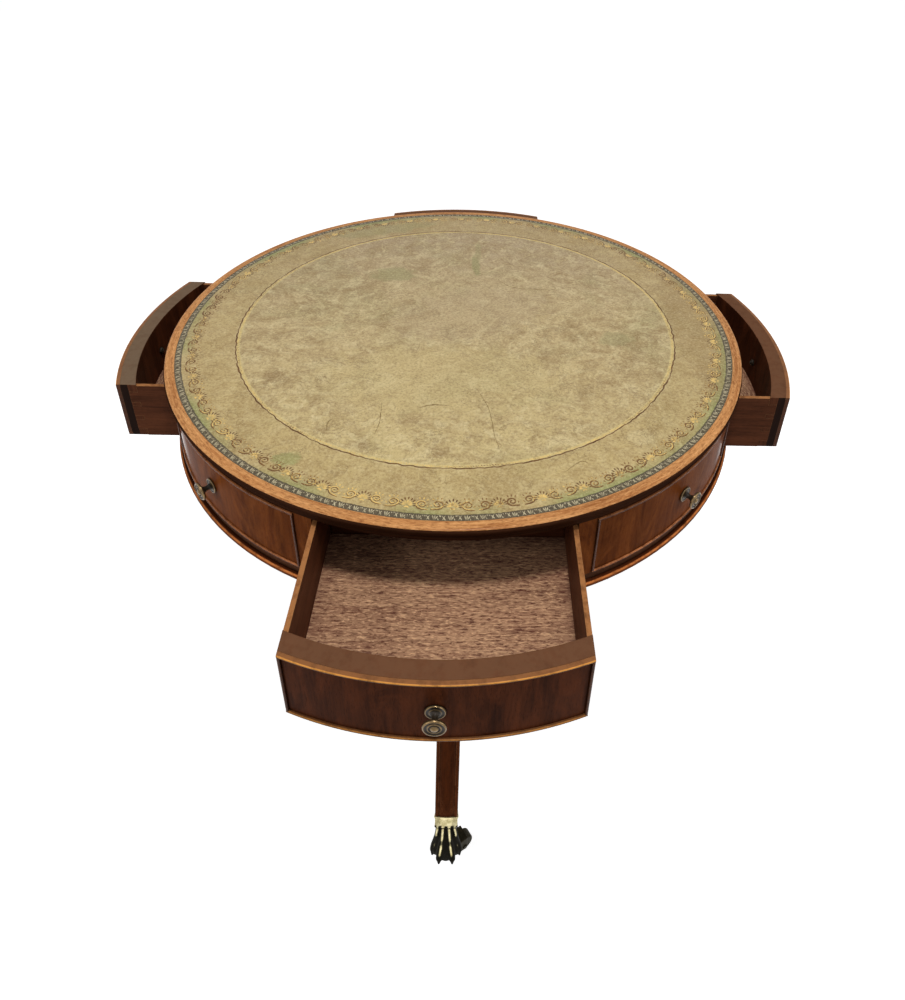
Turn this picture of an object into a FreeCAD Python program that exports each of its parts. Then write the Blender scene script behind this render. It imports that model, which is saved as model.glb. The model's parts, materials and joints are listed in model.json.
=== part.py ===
"""A round drum table on a turned column with three splayed legs, brass paw feet and castors.

The leather-topped drum turns on the column. It holds four real drawers, drawn out as they are at rest,
and between them four sham drawer fronts. All lengths are in millimetres. The origin is the centre of the
tabletop, +Z is up, and the drawer called front opens towards -Y.
"""
import FreeCAD, Part
import os
from math import asin, cos, degrees, radians, sin, sqrt

V = FreeCAD.Vector
AXIS = V(0, 0, 1)
ORIGIN = V(0, 0, 0)

# Whole table
table_height = 762.0
top_radius = 457.0
cut_overrun = 5.0          # how far a cutting solid runs past what it cuts
fit_gap = 0.1              # between glued or seated curved faces
running_gap = 0.3          # between faces that slide or turn on each other

# Tabletop
top_thickness = 14.0
leather_thickness = 1.2
crossband_width = 15.5     # from the leather to the outermost edge
nose_depth = 5.5           # the widest point of the edge lies this far below the top
arris_setback = 4.5        # the top arris lies this far inside the widest point
under_setback = 5.0        # the under edge lies this far inside the widest point
under_lip = 3.0            # upright height of the under edge

# Drum
top_overhang = 7.5
top_deck_thickness = 9.5
opening_height = 96.6
bottom_deck_thickness = 10.5
frieze_thickness = 18.0
partition_thickness = 8.0
moulding_height = 8.5
moulding_projection = 7.5
moulding_width = 24.0      # how far the moulding reaches in under the deck

# Drawers
drawer_width = 319.2
drawer_length = 270.0
drawer_side_gap = 1.2
drawer_face_gap = 0.8      # above and below a drawer front
face_thickness = 25.0
face_recess = 0.5          # the veneered face lies this far inside the drum's own surface
side_thickness = 6.0
side_drop = 2.0            # the sides' top edge below the front's
back_thickness = 7.0
back_drop = 5.0
bottom_thickness = 5.0
bottom_height = 15.0       # the drawer bottom's upper face above the lower edge of the sides
groove_depth = 3.0
tail_count = 3
tail_length = 13.0
tail_wide = 20.0
tail_narrow = 15.0
tail_margin = 8.0          # from the side's edges to the first and last tails
stop_length = 40.0
stop_width = 10.0
stop_height = 9.0
front_drawn_out = 178.0
right_drawn_out = 83.0
back_drawn_out = 74.0
left_drawn_out = 80.0

# Cock beads
bead_thickness = 3.2
bead_projection = 2.5      # past the drum's own surface
bead_seat = 3.5            # how deep a bead is let in behind the drum's surface

# Knobs
knob_rise = 1.8            # the knob's height above the middle of the front
rose_radius = 10.9
rose_thickness = 2.6
knob_radius = 12.4
knob_thickness = 4.0
knob_reach = 18.5          # from the drawer face to the knob's front
knob_neck_radius = 4.2
knob_boss_radius = 4.4
knob_dish = 1.5            # how deep the knob's face is dished round its boss
bolt_radius = 2.5
bolt_gap = 0.2
knob_nut_radius = 5.5
knob_nut_thickness = 4.0
bolt_stand_out = 2.0

# Column
plate_radius = 150.0
plate_thickness = 22.0
plate_round = 6.0
tenon_radius = 30.0
column_bottom = 222.0      # above the floor
boss_radius = 58.0
boss_height = 128.0
shoulder_drop = 12.0
bead_ring_radius = 5.5
lower_neck_radius = 40.0
vase_radius = 49.0
upper_neck_radius = 27.0
capital_radius = 50.0
capital_height = 34.0
capital_edge = 9.0

# Pivot
spindle_radius = 11.0
spindle_depth = 70.0       # into the column
spindle_gap = 0.1
pivot_block_width = 150.0
pivot_block_height = 28.0
washer_radius = 25.0
washer_thickness = 3.0
nut_radius = 19.0
nut_height = 14.0
spindle_stand_out = 4.0

# Legs: the upper and the under edge in the leg's own plane, as shares of reach and of height
leg_reach = 450.0          # from the axis to the top of the paw's collar
leg_knee_height = 343.0    # above the floor
leg_root_width = 42.0
leg_toe_width = 35.5
upper_reach_shares = (0.100, 0.250, 0.408, 0.567, 0.707, 0.840, 0.925, 1.000)
upper_height_shares = (0.978, 1.000, 0.978, 0.907, 0.781, 0.595, 0.465, 0.344)
under_reach_shares = (0.100, 0.238, 0.380, 0.510, 0.641, 0.778, 0.864, 0.942)
under_height_shares = (0.665, 0.711, 0.778, 0.766, 0.685, 0.520, 0.397, 0.281)
under_width_share = 0.84   # the under face is narrower than the upper
reed_width = 6.0
reed_drop = 4.5
reed_groove = 2.2
panel_crown = 0.6
tail_depth = 14.0
tail_neck = 16.0
tail_flare = 24.0
tail_height = 92.0
stub_radius = 9.0
stub_length = 20.0

# Paw caps
collar_proud = 0.7
collar_length = 20.0
toe_tip_reach = 29.0       # past the collar's upper edge, for the two middle toes
toe_tip_rise = 3.5         # a toe's tip above the sole
toe_radius = 5.4
knuckle_radius = 6.6
tendon_radius = 4.2
inner_toe_spread = 6.6
outer_toe_spread = 18.6
outer_toe_setback = 11.0
knuckle_back = 13.0        # a knuckle lies this far behind its toe's tip
knuckle_rise = 17.0        # and this far above it
paw_width = 34.0

# Castors
castor_out = 5.0           # the swivel pin stands this far past the leg's reach
castor_trail = 29.0
trail_angle = 36.0         # degrees from +X, seen from above
wheel_radius = 18.0
wheel_width = 17.0
wheel_round = 3.0
axle_radius = 2.5
axle_gap = 0.1
axle_head_radius = 4.0
axle_head = 1.6
cheek_thickness = 2.4
cheek_gap = 0.6
cheek_radius = 6.5
fork_plate_thickness = 3.5
fork_plate_radius = 10.0
pin_radius = 3.5
pin_gap = 0.1
pin_height = 18.0

# Iron base plate and screws
base_plate_thickness = 3.0
base_plate_radius = 57.0
screw_radius = 2.0
screw_head_radius = 4.2
screw_head = 1.8
screw_length = 20.0
block_screw_inset = 18.0

# Places that follow from the sizes
floor = -table_height
leather_radius = top_radius - crossband_width
drum_radius = top_radius - top_overhang
opening_top = -top_thickness - top_deck_thickness
opening_bottom = opening_top - opening_height
deck_under = opening_bottom - bottom_deck_thickness
drum_under = deck_under - moulding_height
face_radius = drum_radius - face_recess
face_inner_radius = face_radius - face_thickness
bead_radius = drum_radius + bead_projection
bead_inner_radius = drum_radius - bead_seat
front_top = opening_top - drawer_face_gap
front_bottom = opening_bottom + drawer_face_gap
front_middle = (front_top + front_bottom) / 2
knob_height = front_middle + knob_rise
half_width = drawer_width / 2
opening_half = half_width + drawer_side_gap
front_half_angle = degrees(asin(half_width / bead_radius))
drawer_back = drawer_length - bead_radius
side_bottom = opening_bottom + running_gap
side_top = front_top - side_drop
bottom_top = side_bottom + bottom_height
plate_top = deck_under - running_gap
column_top = plate_top - plate_thickness
column_foot = floor + column_bottom
block_top = opening_bottom + pivot_block_height
washer_under = block_top + running_gap
nut_under = washer_under + washer_thickness
castor_reach = leg_reach + castor_out
axle_height = floor + wheel_radius
fork_under = floor + 2 * wheel_radius + cheek_gap + running_gap
fork_top = fork_under + fork_plate_thickness
sole = fork_top + running_gap
wheel_side = wheel_width / 2 + cheek_gap
fork_half = wheel_side + cheek_thickness

drawers = {"front": (0, front_drawn_out), "right": (90, right_drawn_out),
           "back": (180, back_drawn_out), "left": (270, left_drawn_out)}
legs = {"front": 0, "right": 120, "left": 240}


def box(x0, x1, y0, y1, z0, z1):
    return Part.makeBox(x1 - x0, y1 - y0, z1 - z0, V(x0, y0, z0))


def disc(radius, z0, z1):
    return Part.makeCylinder(radius, z1 - z0, V(0, 0, z0), AXIS)


def ring(inner, outer, z0, z1):
    return disc(outer, z0, z1).cut(disc(inner, z0 - cut_overrun, z1 + cut_overrun))


def face_of(edges):
    return Part.Face(Part.Wire(Part.__sortEdges__(edges)))


def line(a, b):
    return Part.LineSegment(a, b).toShape()


def arc(a, b, c):
    return Part.Arc(a, b, c).toShape()


def loop(points):
    return face_of([line(a, b) for a, b in zip(points, points[1:] + points[:1])])


def at(radius, height):
    return V(radius, 0, height)


def turned(edges):
    return face_of(edges).revolve(ORIGIN, AXIS, 360)


def swing(shape, angle):
    moved = shape.copy()
    moved.rotate(ORIGIN, AXIS, angle)
    return moved


def slide_out(shape, distance):
    moved = shape.copy()
    moved.translate(V(0, -distance, 0))
    return moved


def fused(shapes):
    return shapes[0].multiFuse(shapes[1:]).removeSplitter()


def save(name, solids):
    shapes = solids if isinstance(solids, list) else [solids]
    parts = [s for shape in shapes for s in shape.Solids]
    shape = parts[0] if len(parts) == 1 else Part.makeCompound(parts)
    shape.exportStep(f"parts/{name}.step")


# Tabletop
def make_leather():
    return disc(leather_radius - fit_gap, -leather_thickness, 0)


def make_top_board():
    return disc(leather_radius - fit_gap, -top_thickness, -leather_thickness)


def make_edge_band():
    """The crossbanded edge, with a rounded nose that falls back to an upright lip."""
    arris = top_radius - arris_setback
    under = top_radius - under_setback
    lip_top = -top_thickness + under_lip
    upper_bend = at(top_radius - arris_setback * (1 - sin(radians(45))), -nose_depth * (1 - sin(radians(45))))
    lower_span = -nose_depth - lip_top
    lower_bend = at(top_radius - under_setback * (1 - sin(radians(60))), -nose_depth - lower_span / 2)
    return turned([
        line(at(leather_radius, 0), at(arris, 0)),
        arc(at(arris, 0), upper_bend, at(top_radius, -nose_depth)),
        arc(at(top_radius, -nose_depth), lower_bend, at(under, lip_top)),
        line(at(under, lip_top), at(under, -top_thickness)),
        line(at(under, -top_thickness), at(leather_radius, -top_thickness)),
        line(at(leather_radius, -top_thickness), at(leather_radius, 0)),
    ])


# Drum
def make_bottom_deck():
    bore = disc(spindle_radius + spindle_gap, deck_under - cut_overrun, opening_bottom + cut_overrun)
    return disc(drum_radius, deck_under, opening_bottom).cut(bore)


def make_base_moulding():
    """A ring under the deck, with a rounded nose that stands out past the drum."""
    outer = drum_radius + moulding_projection
    half = moulding_height / 2
    middle = deck_under - half
    inner = drum_radius - moulding_width
    return turned([
        line(at(inner, deck_under), at(outer - half, deck_under)),
        arc(at(outer - half, deck_under), at(outer, middle), at(outer - half, drum_under)),
        line(at(outer - half, drum_under), at(inner, drum_under)),
        line(at(inner, drum_under), at(inner, deck_under)),
    ])


def quadrant(inner_x, inner_y, z0, z1):
    """What lies right of inner_x and in front of inner_y, between the front and the right drawers."""
    reach = bead_radius + cut_overrun
    return box(inner_x, reach, -reach, -inner_y, z0, z1)


def make_frieze_panels():
    """Four curved blocks between the drawer openings, grooved for the sham fronts' beads."""
    body = ring(drum_radius - frieze_thickness, drum_radius, opening_bottom, opening_top)
    panel = body.common(quadrant(opening_half, opening_half, opening_bottom, opening_top))
    for bead in sham_beads(fit_gap):
        panel = panel.cut(bead)
    panel = panel.cut(knob_hole(swing_angle=45))
    return [swing(panel, 90 * k) for k in range(4)]


def make_partitions():
    """Two boards to each quadrant: they guide the drawers and carry the top deck."""
    inside = disc(drum_radius - frieze_thickness - fit_gap, opening_bottom, opening_top)
    outer = opening_half + partition_thickness
    along_front = quadrant(opening_half, opening_half, opening_bottom, opening_top)
    along_front = along_front.cut(quadrant(outer, 0, opening_bottom, opening_top))
    along_right = quadrant(outer, opening_half, opening_bottom, opening_top)
    along_right = along_right.cut(quadrant(0, outer, opening_bottom, opening_top))
    boards = []
    for k in range(4):
        boards += [swing(inside.common(b), 90 * k) for b in (along_front, along_right)]
    return boards


def make_drawer_stops():
    """A block behind each drawer, which it meets when it is shut."""
    stop = box(-stop_length / 2, stop_length / 2, drawer_back + running_gap,
               drawer_back + running_gap + stop_width, opening_bottom, opening_bottom + stop_height)
    return [swing(stop, 90 * k) for k in range(4)]


def make_pivot_block():
    half = pivot_block_width / 2
    bore = disc(spindle_radius + spindle_gap, opening_bottom - cut_overrun, block_top + cut_overrun)
    block = box(-half, half, -half, half, opening_bottom, block_top).cut(bore)
    for screw in make_block_screws(fit_gap):
        block = block.cut(screw)
    return block


def make_block_screws(gap=0):
    offset = pivot_block_width / 2 - block_screw_inset
    top = V(offset, offset, block_top)
    return [swing(make_screw(top, AXIS * -1, gap), 90 * k) for k in range(4)]


def make_screw(seat, direction, gap=0):
    """A round-headed screw whose head stands on the seat, or with a gap, the space that it takes."""
    head = Part.makeCylinder(screw_head_radius + gap, screw_head, seat, direction * -1)
    shank = Part.makeCylinder(screw_radius + gap, screw_length, seat, direction)
    return fused([head, shank])


# Cock beads
def bead_strip(z0, z1, gap=0):
    """A bead that runs round the drum between two heights, with a half-round nose."""
    nose = (z1 - z0) / 2
    middle = (z0 + z1) / 2
    inner = bead_inner_radius - gap
    return turned([
        line(at(inner, z0), at(bead_radius - nose, z0)),
        arc(at(bead_radius - nose, z0), at(bead_radius, middle), at(bead_radius - nose, z1)),
        line(at(bead_radius - nose, z1), at(inner, z1)),
        line(at(inner, z1), at(inner, z0)),
    ])


def bead_post(z0, z1, inner):
    """An upright bead in the plane x = 0, which stands from the inner radius out along -Y."""
    nose = bead_thickness / 2
    tip = -bead_radius
    profile = [
        line(V(-nose, -inner, z0), V(-nose, tip + nose, z0)),
        arc(V(-nose, tip + nose, z0), V(0, tip, z0), V(nose, tip + nose, z0)),
        line(V(nose, tip + nose, z0), V(nose, -inner, z0)),
        line(V(nose, -inner, z0), V(-nose, -inner, z0)),
    ]
    return face_of(profile).extrude(V(0, 0, z1 - z0))


def drawer_beads(gap=0):
    """The four beads of a real drawer's front: two curved ones and two upright ones at its ends."""
    slab = box(-half_width, half_width, -bead_radius - cut_overrun, 0, front_bottom, front_top)
    low = front_bottom + bead_thickness
    high = front_top - bead_thickness
    strips = [bead_strip(front_bottom, low, gap).common(slab), bead_strip(high, front_top, gap).common(slab)]
    end_middle = half_width - bead_thickness / 2
    edge_y = sqrt(bead_radius ** 2 - end_middle ** 2)
    seat_y = sqrt(bead_inner_radius ** 2 - end_middle ** 2)
    post = bead_post(low, high, bead_radius - edge_y + seat_y)
    post.translate(V(0, bead_radius - edge_y, 0))
    for side in (-1, 1):
        moved = post.copy()
        moved.translate(V(side * end_middle, 0, 0))
        strips.append(moved)
    return strips


def sham_beads(gap=0):
    """The same frame on a sham front, turned to lie between the front and the right drawers."""
    low = front_bottom + bead_thickness
    high = front_top - bead_thickness
    sector = wedge(front_half_angle, front_bottom, front_top)
    strips = [bead_strip(front_bottom, low, gap).common(sector),
              bead_strip(high, front_top, gap).common(sector)]
    post_angle = front_half_angle - degrees(asin(bead_thickness / 2 / bead_radius))
    post = bead_post(low, high, bead_inner_radius)
    strips += [swing(post, post_angle), swing(post, -post_angle)]
    return [swing(s, 45) for s in strips]


def wedge(half_angle, z0, z1):
    """A wedge about the -Y direction, wide enough to cut any ring of the drum."""
    reach = 2 * bead_radius
    a = radians(half_angle)
    corners = [V(0, 0, z0), V(-reach * sin(a), -reach * cos(a), z0), V(reach * sin(a), -reach * cos(a), z0)]
    return loop(corners).extrude(V(0, 0, z1 - z0))


# Knobs
def knob_hole(swing_angle=0):
    """The bolt hole through a drawer front or frieze panel, along -Y unless it is swung round."""
    start = V(0, -bead_radius - cut_overrun, knob_height)
    hole = Part.makeCylinder(bolt_radius + bolt_gap, bead_radius, start, V(0, 1, 0))
    return swing(hole, swing_angle)


def make_knob(surface, thickness):
    """Rose, knob with its bolt, and nut, for a front whose outer face lies at the surface radius."""
    def across(radius, out):
        return V(radius, -surface - out, knob_height)

    def lathe(points):
        return loop([across(radius, out) for radius, out in points]).revolve(centre, V(0, 1, 0), 360)

    centre = V(0, 0, knob_height)
    bore = bolt_radius + bolt_gap
    rose = lathe([(bore, 0), (rose_radius, 0), (rose_radius, rose_thickness / 2),
                  (rose_radius * 0.85, rose_thickness), (bore, rose_thickness)])
    back = knob_reach - knob_thickness
    end = -thickness - knob_nut_thickness - bolt_stand_out
    knob = lathe([(0, end), (bolt_radius, end), (bolt_radius, rose_thickness),
                  (knob_neck_radius, rose_thickness), (knob_neck_radius * 0.75, back * 0.6),
                  (knob_neck_radius * 1.6, back), (knob_radius * 0.94, back),
                  (knob_radius, back + knob_thickness / 2), (knob_radius * 0.94, knob_reach),
                  (knob_boss_radius * 1.3, knob_reach - knob_dish), (knob_boss_radius, knob_reach),
                  (0, knob_reach + knob_dish)])
    nut_face = -surface + thickness + fit_gap
    corners = [V(knob_nut_radius * sin(radians(60 * k)), nut_face,
                 knob_height + knob_nut_radius * cos(radians(60 * k))) for k in range(6)]
    nut = loop(corners).extrude(V(0, knob_nut_thickness, 0)).cut(knob_hole())
    return [rose, knob, nut]


# Drawers
def tails():
    """The dovetail tails of the left side's front end, which run into the drawer front."""
    start = face_y(half_width)
    pitch = (side_top - side_bottom - 2 * tail_margin) / tail_count
    shapes = []
    for k in range(tail_count):
        middle = side_bottom + tail_margin + pitch * (k + 0.5)
        narrow, wide = tail_narrow / 2, tail_wide / 2
        back = start + tail_length
        corners = [V(-half_width, back, middle - narrow), V(-half_width, start - tail_length, middle - wide),
                   V(-half_width, start - tail_length, middle + wide), V(-half_width, back, middle + narrow)]
        shapes.append(loop(corners).extrude(V(side_thickness, 0, 0)))
    return shapes


def face_y(x):
    """Where the inner face of a drawer front lies at a distance x from its middle."""
    return -sqrt(face_inner_radius ** 2 - x ** 2)


def mirrored(shape):
    return shape.mirror(ORIGIN, V(1, 0, 0))


def make_drawer_bottom(gap=0):
    """The bottom board, which lies in grooves of the sides and of the curved front."""
    half = half_width - side_thickness + groove_depth
    front = face_inner_radius + groove_depth + gap
    low = bottom_top - bottom_thickness
    return box(-half, half, -front, drawer_back, low, bottom_top).common(disc(front, low, bottom_top))


def make_drawer_sides():
    inner = side_thickness - half_width
    behind = disc(face_inner_radius - fit_gap, side_bottom, side_top)
    board = box(-half_width, inner, -face_inner_radius, drawer_back, side_bottom, side_top).common(behind)
    left = fused([board] + tails()).cut(make_drawer_bottom())
    return [left, mirrored(left)]


def make_drawer_face():
    """The thick curved front, rebated for its beads, socketed for the dovetails and bored for the knob."""
    slab = box(-half_width, half_width, -bead_radius, 0, front_bottom, front_top)
    face = ring(face_inner_radius, face_radius, front_bottom, front_top).common(slab)
    for bead in drawer_beads(fit_gap):
        face = face.cut(bead)
    for tail in tails():
        face = face.cut(tail).cut(mirrored(tail))
    return face.cut(make_drawer_bottom(fit_gap)).cut(knob_hole())


def make_drawer_back():
    half = half_width - side_thickness
    return box(-half, half, drawer_back - back_thickness, drawer_back, bottom_top, side_top - back_drop)


def save_drawers():
    shut = {
        "face": [make_drawer_face()],
        "sides": make_drawer_sides(),
        "back": [make_drawer_back()],
        "bottom": [make_drawer_bottom()],
        "bead": drawer_beads(),
        "knob": make_knob(face_radius, face_thickness),
    }
    for place, (angle, drawn_out) in drawers.items():
        for part, solids in shut.items():
            save(f"drawer_{place}_{part}", [swing(slide_out(s, drawn_out), angle) for s in solids])


# Column and pivot
def make_column():
    """Turned in one piece, with a boss for the legs below and a tenon for the bearer above."""
    boss_top = column_foot + boss_height
    shoulder_top = boss_top + shoulder_drop
    first_ring = shoulder_top + 2 * bead_ring_radius
    capital_foot = column_top - capital_height
    second_ring = capital_foot - 2 * bead_ring_radius
    vase_height = second_ring - first_ring
    shoulder_radius = boss_radius - shoulder_drop

    def vase(radius, share):
        return at(radius, first_ring + vase_height * share)

    curve = Part.BSplineCurve()
    curve.interpolate([vase(lower_neck_radius, 0), vase((lower_neck_radius + vase_radius) / 2, 0.09),
                       vase(vase_radius, 0.30), vase((vase_radius + upper_neck_radius) / 2, 0.62),
                       vase(upper_neck_radius, 1)])
    bend = shoulder_drop * (1 - cos(radians(45)))
    ring_radius = lower_neck_radius + bead_ring_radius
    high_ring_radius = upper_neck_radius + bead_ring_radius
    lip = column_top - capital_edge
    cove_radius = upper_neck_radius + (capital_radius - upper_neck_radius) * 0.35
    edges = [
        line(at(0, column_foot), at(boss_radius, column_foot)),
        line(at(boss_radius, column_foot), at(boss_radius, boss_top)),
        arc(at(boss_radius, boss_top), at(boss_radius - bend, shoulder_top - bend),
            at(shoulder_radius, shoulder_top)),
        line(at(shoulder_radius, shoulder_top), at(lower_neck_radius, shoulder_top)),
        arc(at(lower_neck_radius, shoulder_top), at(ring_radius, shoulder_top + bead_ring_radius),
            at(lower_neck_radius, first_ring)),
        curve.toShape(),
        arc(at(upper_neck_radius, second_ring), at(high_ring_radius, second_ring + bead_ring_radius),
            at(upper_neck_radius, capital_foot)),
        arc(at(upper_neck_radius, capital_foot), at(cove_radius, (capital_foot + lip) / 2),
            at(capital_radius, lip)),
        line(at(capital_radius, lip), at(capital_radius, column_top)),
        line(at(capital_radius, column_top), at(tenon_radius, column_top)),
        line(at(tenon_radius, column_top), at(tenon_radius, plate_top)),
        line(at(tenon_radius, plate_top), at(0, plate_top)),
        line(at(0, plate_top), at(0, column_foot)),
    ]
    socket = disc(spindle_radius + fit_gap, plate_top - spindle_depth, plate_top + cut_overrun)
    column = turned(edges).cut(socket)
    for angle in legs.values():
        column = column.cut(swing(leg_tail(), angle))
    return column


def make_top_plate():
    """The round bearer that the drum turns on."""
    inner = tenon_radius + fit_gap
    low = column_top + plate_round
    bend = plate_round * (1 - cos(radians(45)))
    foot_radius = plate_radius - plate_round
    return turned([
        line(at(inner, plate_top), at(plate_radius, plate_top)),
        line(at(plate_radius, plate_top), at(plate_radius, low)),
        arc(at(plate_radius, low), at(plate_radius - bend, column_top + bend), at(foot_radius, column_top)),
        line(at(foot_radius, column_top), at(inner, column_top)),
        line(at(inner, column_top), at(inner, plate_top)),
    ])


def make_spindle():
    top = nut_under + nut_height + spindle_stand_out
    return disc(spindle_radius, plate_top - spindle_depth, top)


def make_spindle_nut():
    bore = spindle_radius + fit_gap
    washer = ring(bore, washer_radius, washer_under, nut_under)
    corners = [V(nut_radius * sin(radians(60 * k)), nut_radius * cos(radians(60 * k)), nut_under)
               for k in range(6)]
    hole = disc(bore, nut_under - cut_overrun, nut_under + nut_height + cut_overrun)
    return [washer, loop(corners).extrude(V(0, 0, nut_height)).cut(hole)]


def make_base_plate():
    plate = disc(base_plate_radius, column_foot - base_plate_thickness, column_foot)
    for screw in make_base_screws(fit_gap):
        plate = plate.cut(screw)
    return plate


def make_base_screws(gap=0):
    """One screw through the base plate into each leg's tail."""
    seat = V(0, tail_depth / 2 - boss_radius, column_foot - base_plate_thickness)
    return [swing(make_screw(seat, AXIS, gap), angle) for angle in legs.values()]


# Legs, in the plane x = 0 and reaching out along -Y
def leg_point(reach_share, height_share):
    return V(0, -leg_reach * reach_share, floor + leg_knee_height * height_share)


def leg_section(k):
    """One cross-section, square to the leg, with a reed along each edge of its upper face."""
    upper = leg_point(upper_reach_shares[k], upper_height_shares[k])
    under = leg_point(under_reach_shares[k], under_height_shares[k])
    up = upper - under
    depth = up.Length
    up.normalize()
    width = leg_root_width + (leg_toe_width - leg_root_width) * k / (len(upper_reach_shares) - 1)
    half = width / 2
    foot = half * under_width_share
    crest = half - reed_width / 3
    quirk = half - reed_width

    def spot(across, drop):
        return V(across, 0, 0) + upper - up * drop

    return Part.Wire([
        line(spot(-foot, depth), spot(foot, depth)),
        line(spot(foot, depth), spot(half, reed_drop)),
        arc(spot(half, reed_drop), spot(crest, 0), spot(quirk, reed_groove)),
        arc(spot(quirk, reed_groove), spot(0, -panel_crown), spot(-quirk, reed_groove)),
        arc(spot(-quirk, reed_groove), spot(-crest, 0), spot(-half, reed_drop)),
        line(spot(-half, reed_drop), spot(-foot, depth)),
    ])


def leg_end():
    """The middle of the leg's lower end, the way it points there, and the way its upper face looks."""
    upper = leg_point(upper_reach_shares[-1], upper_height_shares[-1])
    under = leg_point(under_reach_shares[-1], under_height_shares[-1])
    face = upper - under
    face.normalize()
    along = V(1, 0, 0).cross(face)
    return (upper + under) / 2, along, face


def leg_tail():
    """The dovetail that slides up into the column's boss."""
    neck, flare = tail_neck / 2, tail_flare / 2
    root = boss_radius + cut_overrun
    inner = boss_radius - tail_depth
    slope = (flare - neck) / tail_depth
    outer_half = neck - slope * cut_overrun
    corners = [V(-outer_half, -root, column_foot), V(outer_half, -root, column_foot),
               V(flare, -inner, column_foot), V(-flare, -inner, column_foot)]
    return loop(corners).extrude(V(0, 0, tail_height))


def leg_stub(gap=0):
    """The round tenon on the leg's end, or with a gap, its socket in the paw cap."""
    middle, along, face = leg_end()
    length = stub_length + cut_overrun + gap
    return Part.makeCylinder(stub_radius + gap, length, middle - along * cut_overrun, along)


def make_leg():
    sections = [leg_section(k) for k in range(len(upper_reach_shares))]
    boss = disc(boss_radius + fit_gap, floor, opening_bottom)
    limb = Part.makeLoft(sections, True, False).cut(boss)
    leg = fused([limb, leg_tail().common(boss), leg_stub()])
    for screw in make_base_screws(fit_gap):
        leg = leg.cut(screw)
    return leg


# Paw caps and castors, for the leg that reaches out along -Y
def toe_line(side, outer):
    """Tip, knuckle and tendon root of one toe."""
    spread = outer_toe_spread if outer else inner_toe_spread
    setback = outer_toe_setback if outer else 0
    tip = V(side * spread, -leg_reach - toe_tip_reach + setback, sole + toe_tip_rise)
    knuckle = tip + V(-side * toe_radius / 3, knuckle_back, knuckle_rise)
    middle, along, face = leg_end()
    depth = leg_depth() / 2 - tendon_radius
    root = middle + along * collar_length + face * depth + V(side * spread * 0.55, 0, 0)
    return tip, knuckle, root


def leg_depth():
    upper = leg_point(upper_reach_shares[-1], upper_height_shares[-1])
    return (upper - leg_point(under_reach_shares[-1], under_height_shares[-1])).Length


def limb_between(a, b, radius_a, radius_b):
    way = b - a
    length = way.Length
    if abs(radius_a - radius_b) < fit_gap:
        return Part.makeCylinder(radius_a, length, a, way)
    return Part.makeCone(radius_a, radius_b, length, a, way)


def make_toe(side, outer):
    tip, knuckle, root = toe_line(side, outer)
    toe = limb_between(tip, knuckle, toe_radius, knuckle_radius)
    tendon = limb_between(knuckle, root, knuckle_radius, tendon_radius)
    return [Part.makeSphere(toe_radius, tip), toe, Part.makeSphere(knuckle_radius, knuckle), tendon,
            Part.makeSphere(tendon_radius, root)]


def collar_loop(distance):
    """The leg's end section moved along the leg, made plain and a little larger."""
    middle, along, face = leg_end()
    half = leg_toe_width / 2 + collar_proud
    foot = leg_toe_width / 2 * under_width_share + collar_proud
    depth = leg_depth() / 2 + collar_proud
    centre = middle + along * distance
    crown = reed_drop / 2

    def spot(across, up):
        return centre + V(across, 0, 0) + face * up

    return Part.Wire([
        line(spot(-foot, -depth), spot(foot, -depth)),
        line(spot(foot, -depth), spot(half, depth - crown)),
        arc(spot(half, depth - crown), spot(0, depth), spot(-half, depth - crown)),
        line(spot(-half, depth - crown), spot(-foot, -depth)),
    ])


def make_paw_cap():
    """A cast cap: a collar round the leg's end, and four toes over a flat sole with the castor under it."""
    middle, along, face = leg_end()
    collar = Part.makeLoft([collar_loop(0), collar_loop(collar_length)], True, True)
    half_depth = leg_depth() / 2
    heel = castor_reach - fork_plate_radius - toe_radius
    front = leg_reach + toe_tip_reach - knuckle_back
    drop = middle + along * collar_length
    instep = drop + face * (half_depth - tendon_radius / 2)
    profile = [V(0, -heel, sole), V(0, -front, sole), V(0, -front, sole + toe_tip_rise + knuckle_rise),
               instep, middle + along * collar_length / 2, drop - face * half_depth]
    block = loop([p - V(paw_width / 2, 0, 0) for p in profile]).extrude(V(paw_width, 0, 0))
    toes = [s for outer in (False, True) for side in (-1, 1) for s in make_toe(side, outer)]
    cap = fused([collar, block] + toes)
    under = box(-paw_width, paw_width, -2 * leg_reach, 0, floor, sole)
    pin_foot = V(0, -castor_reach, fork_top)
    pin_hole = Part.makeCylinder(pin_radius + pin_gap, pin_height + running_gap, pin_foot)
    return cap.cut(under).cut(leg_stub(fit_gap)).cut(pin_hole)


def along_trail(shape, angle):
    """Turns a castor piece, made to trail along +X from the origin, and puts it under its leg's cap."""
    moved = shape.copy()
    moved.rotate(ORIGIN, AXIS, trail_angle)
    a = radians(angle)
    moved.translate(V(castor_reach * sin(a), -castor_reach * cos(a), 0))
    return moved


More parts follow.
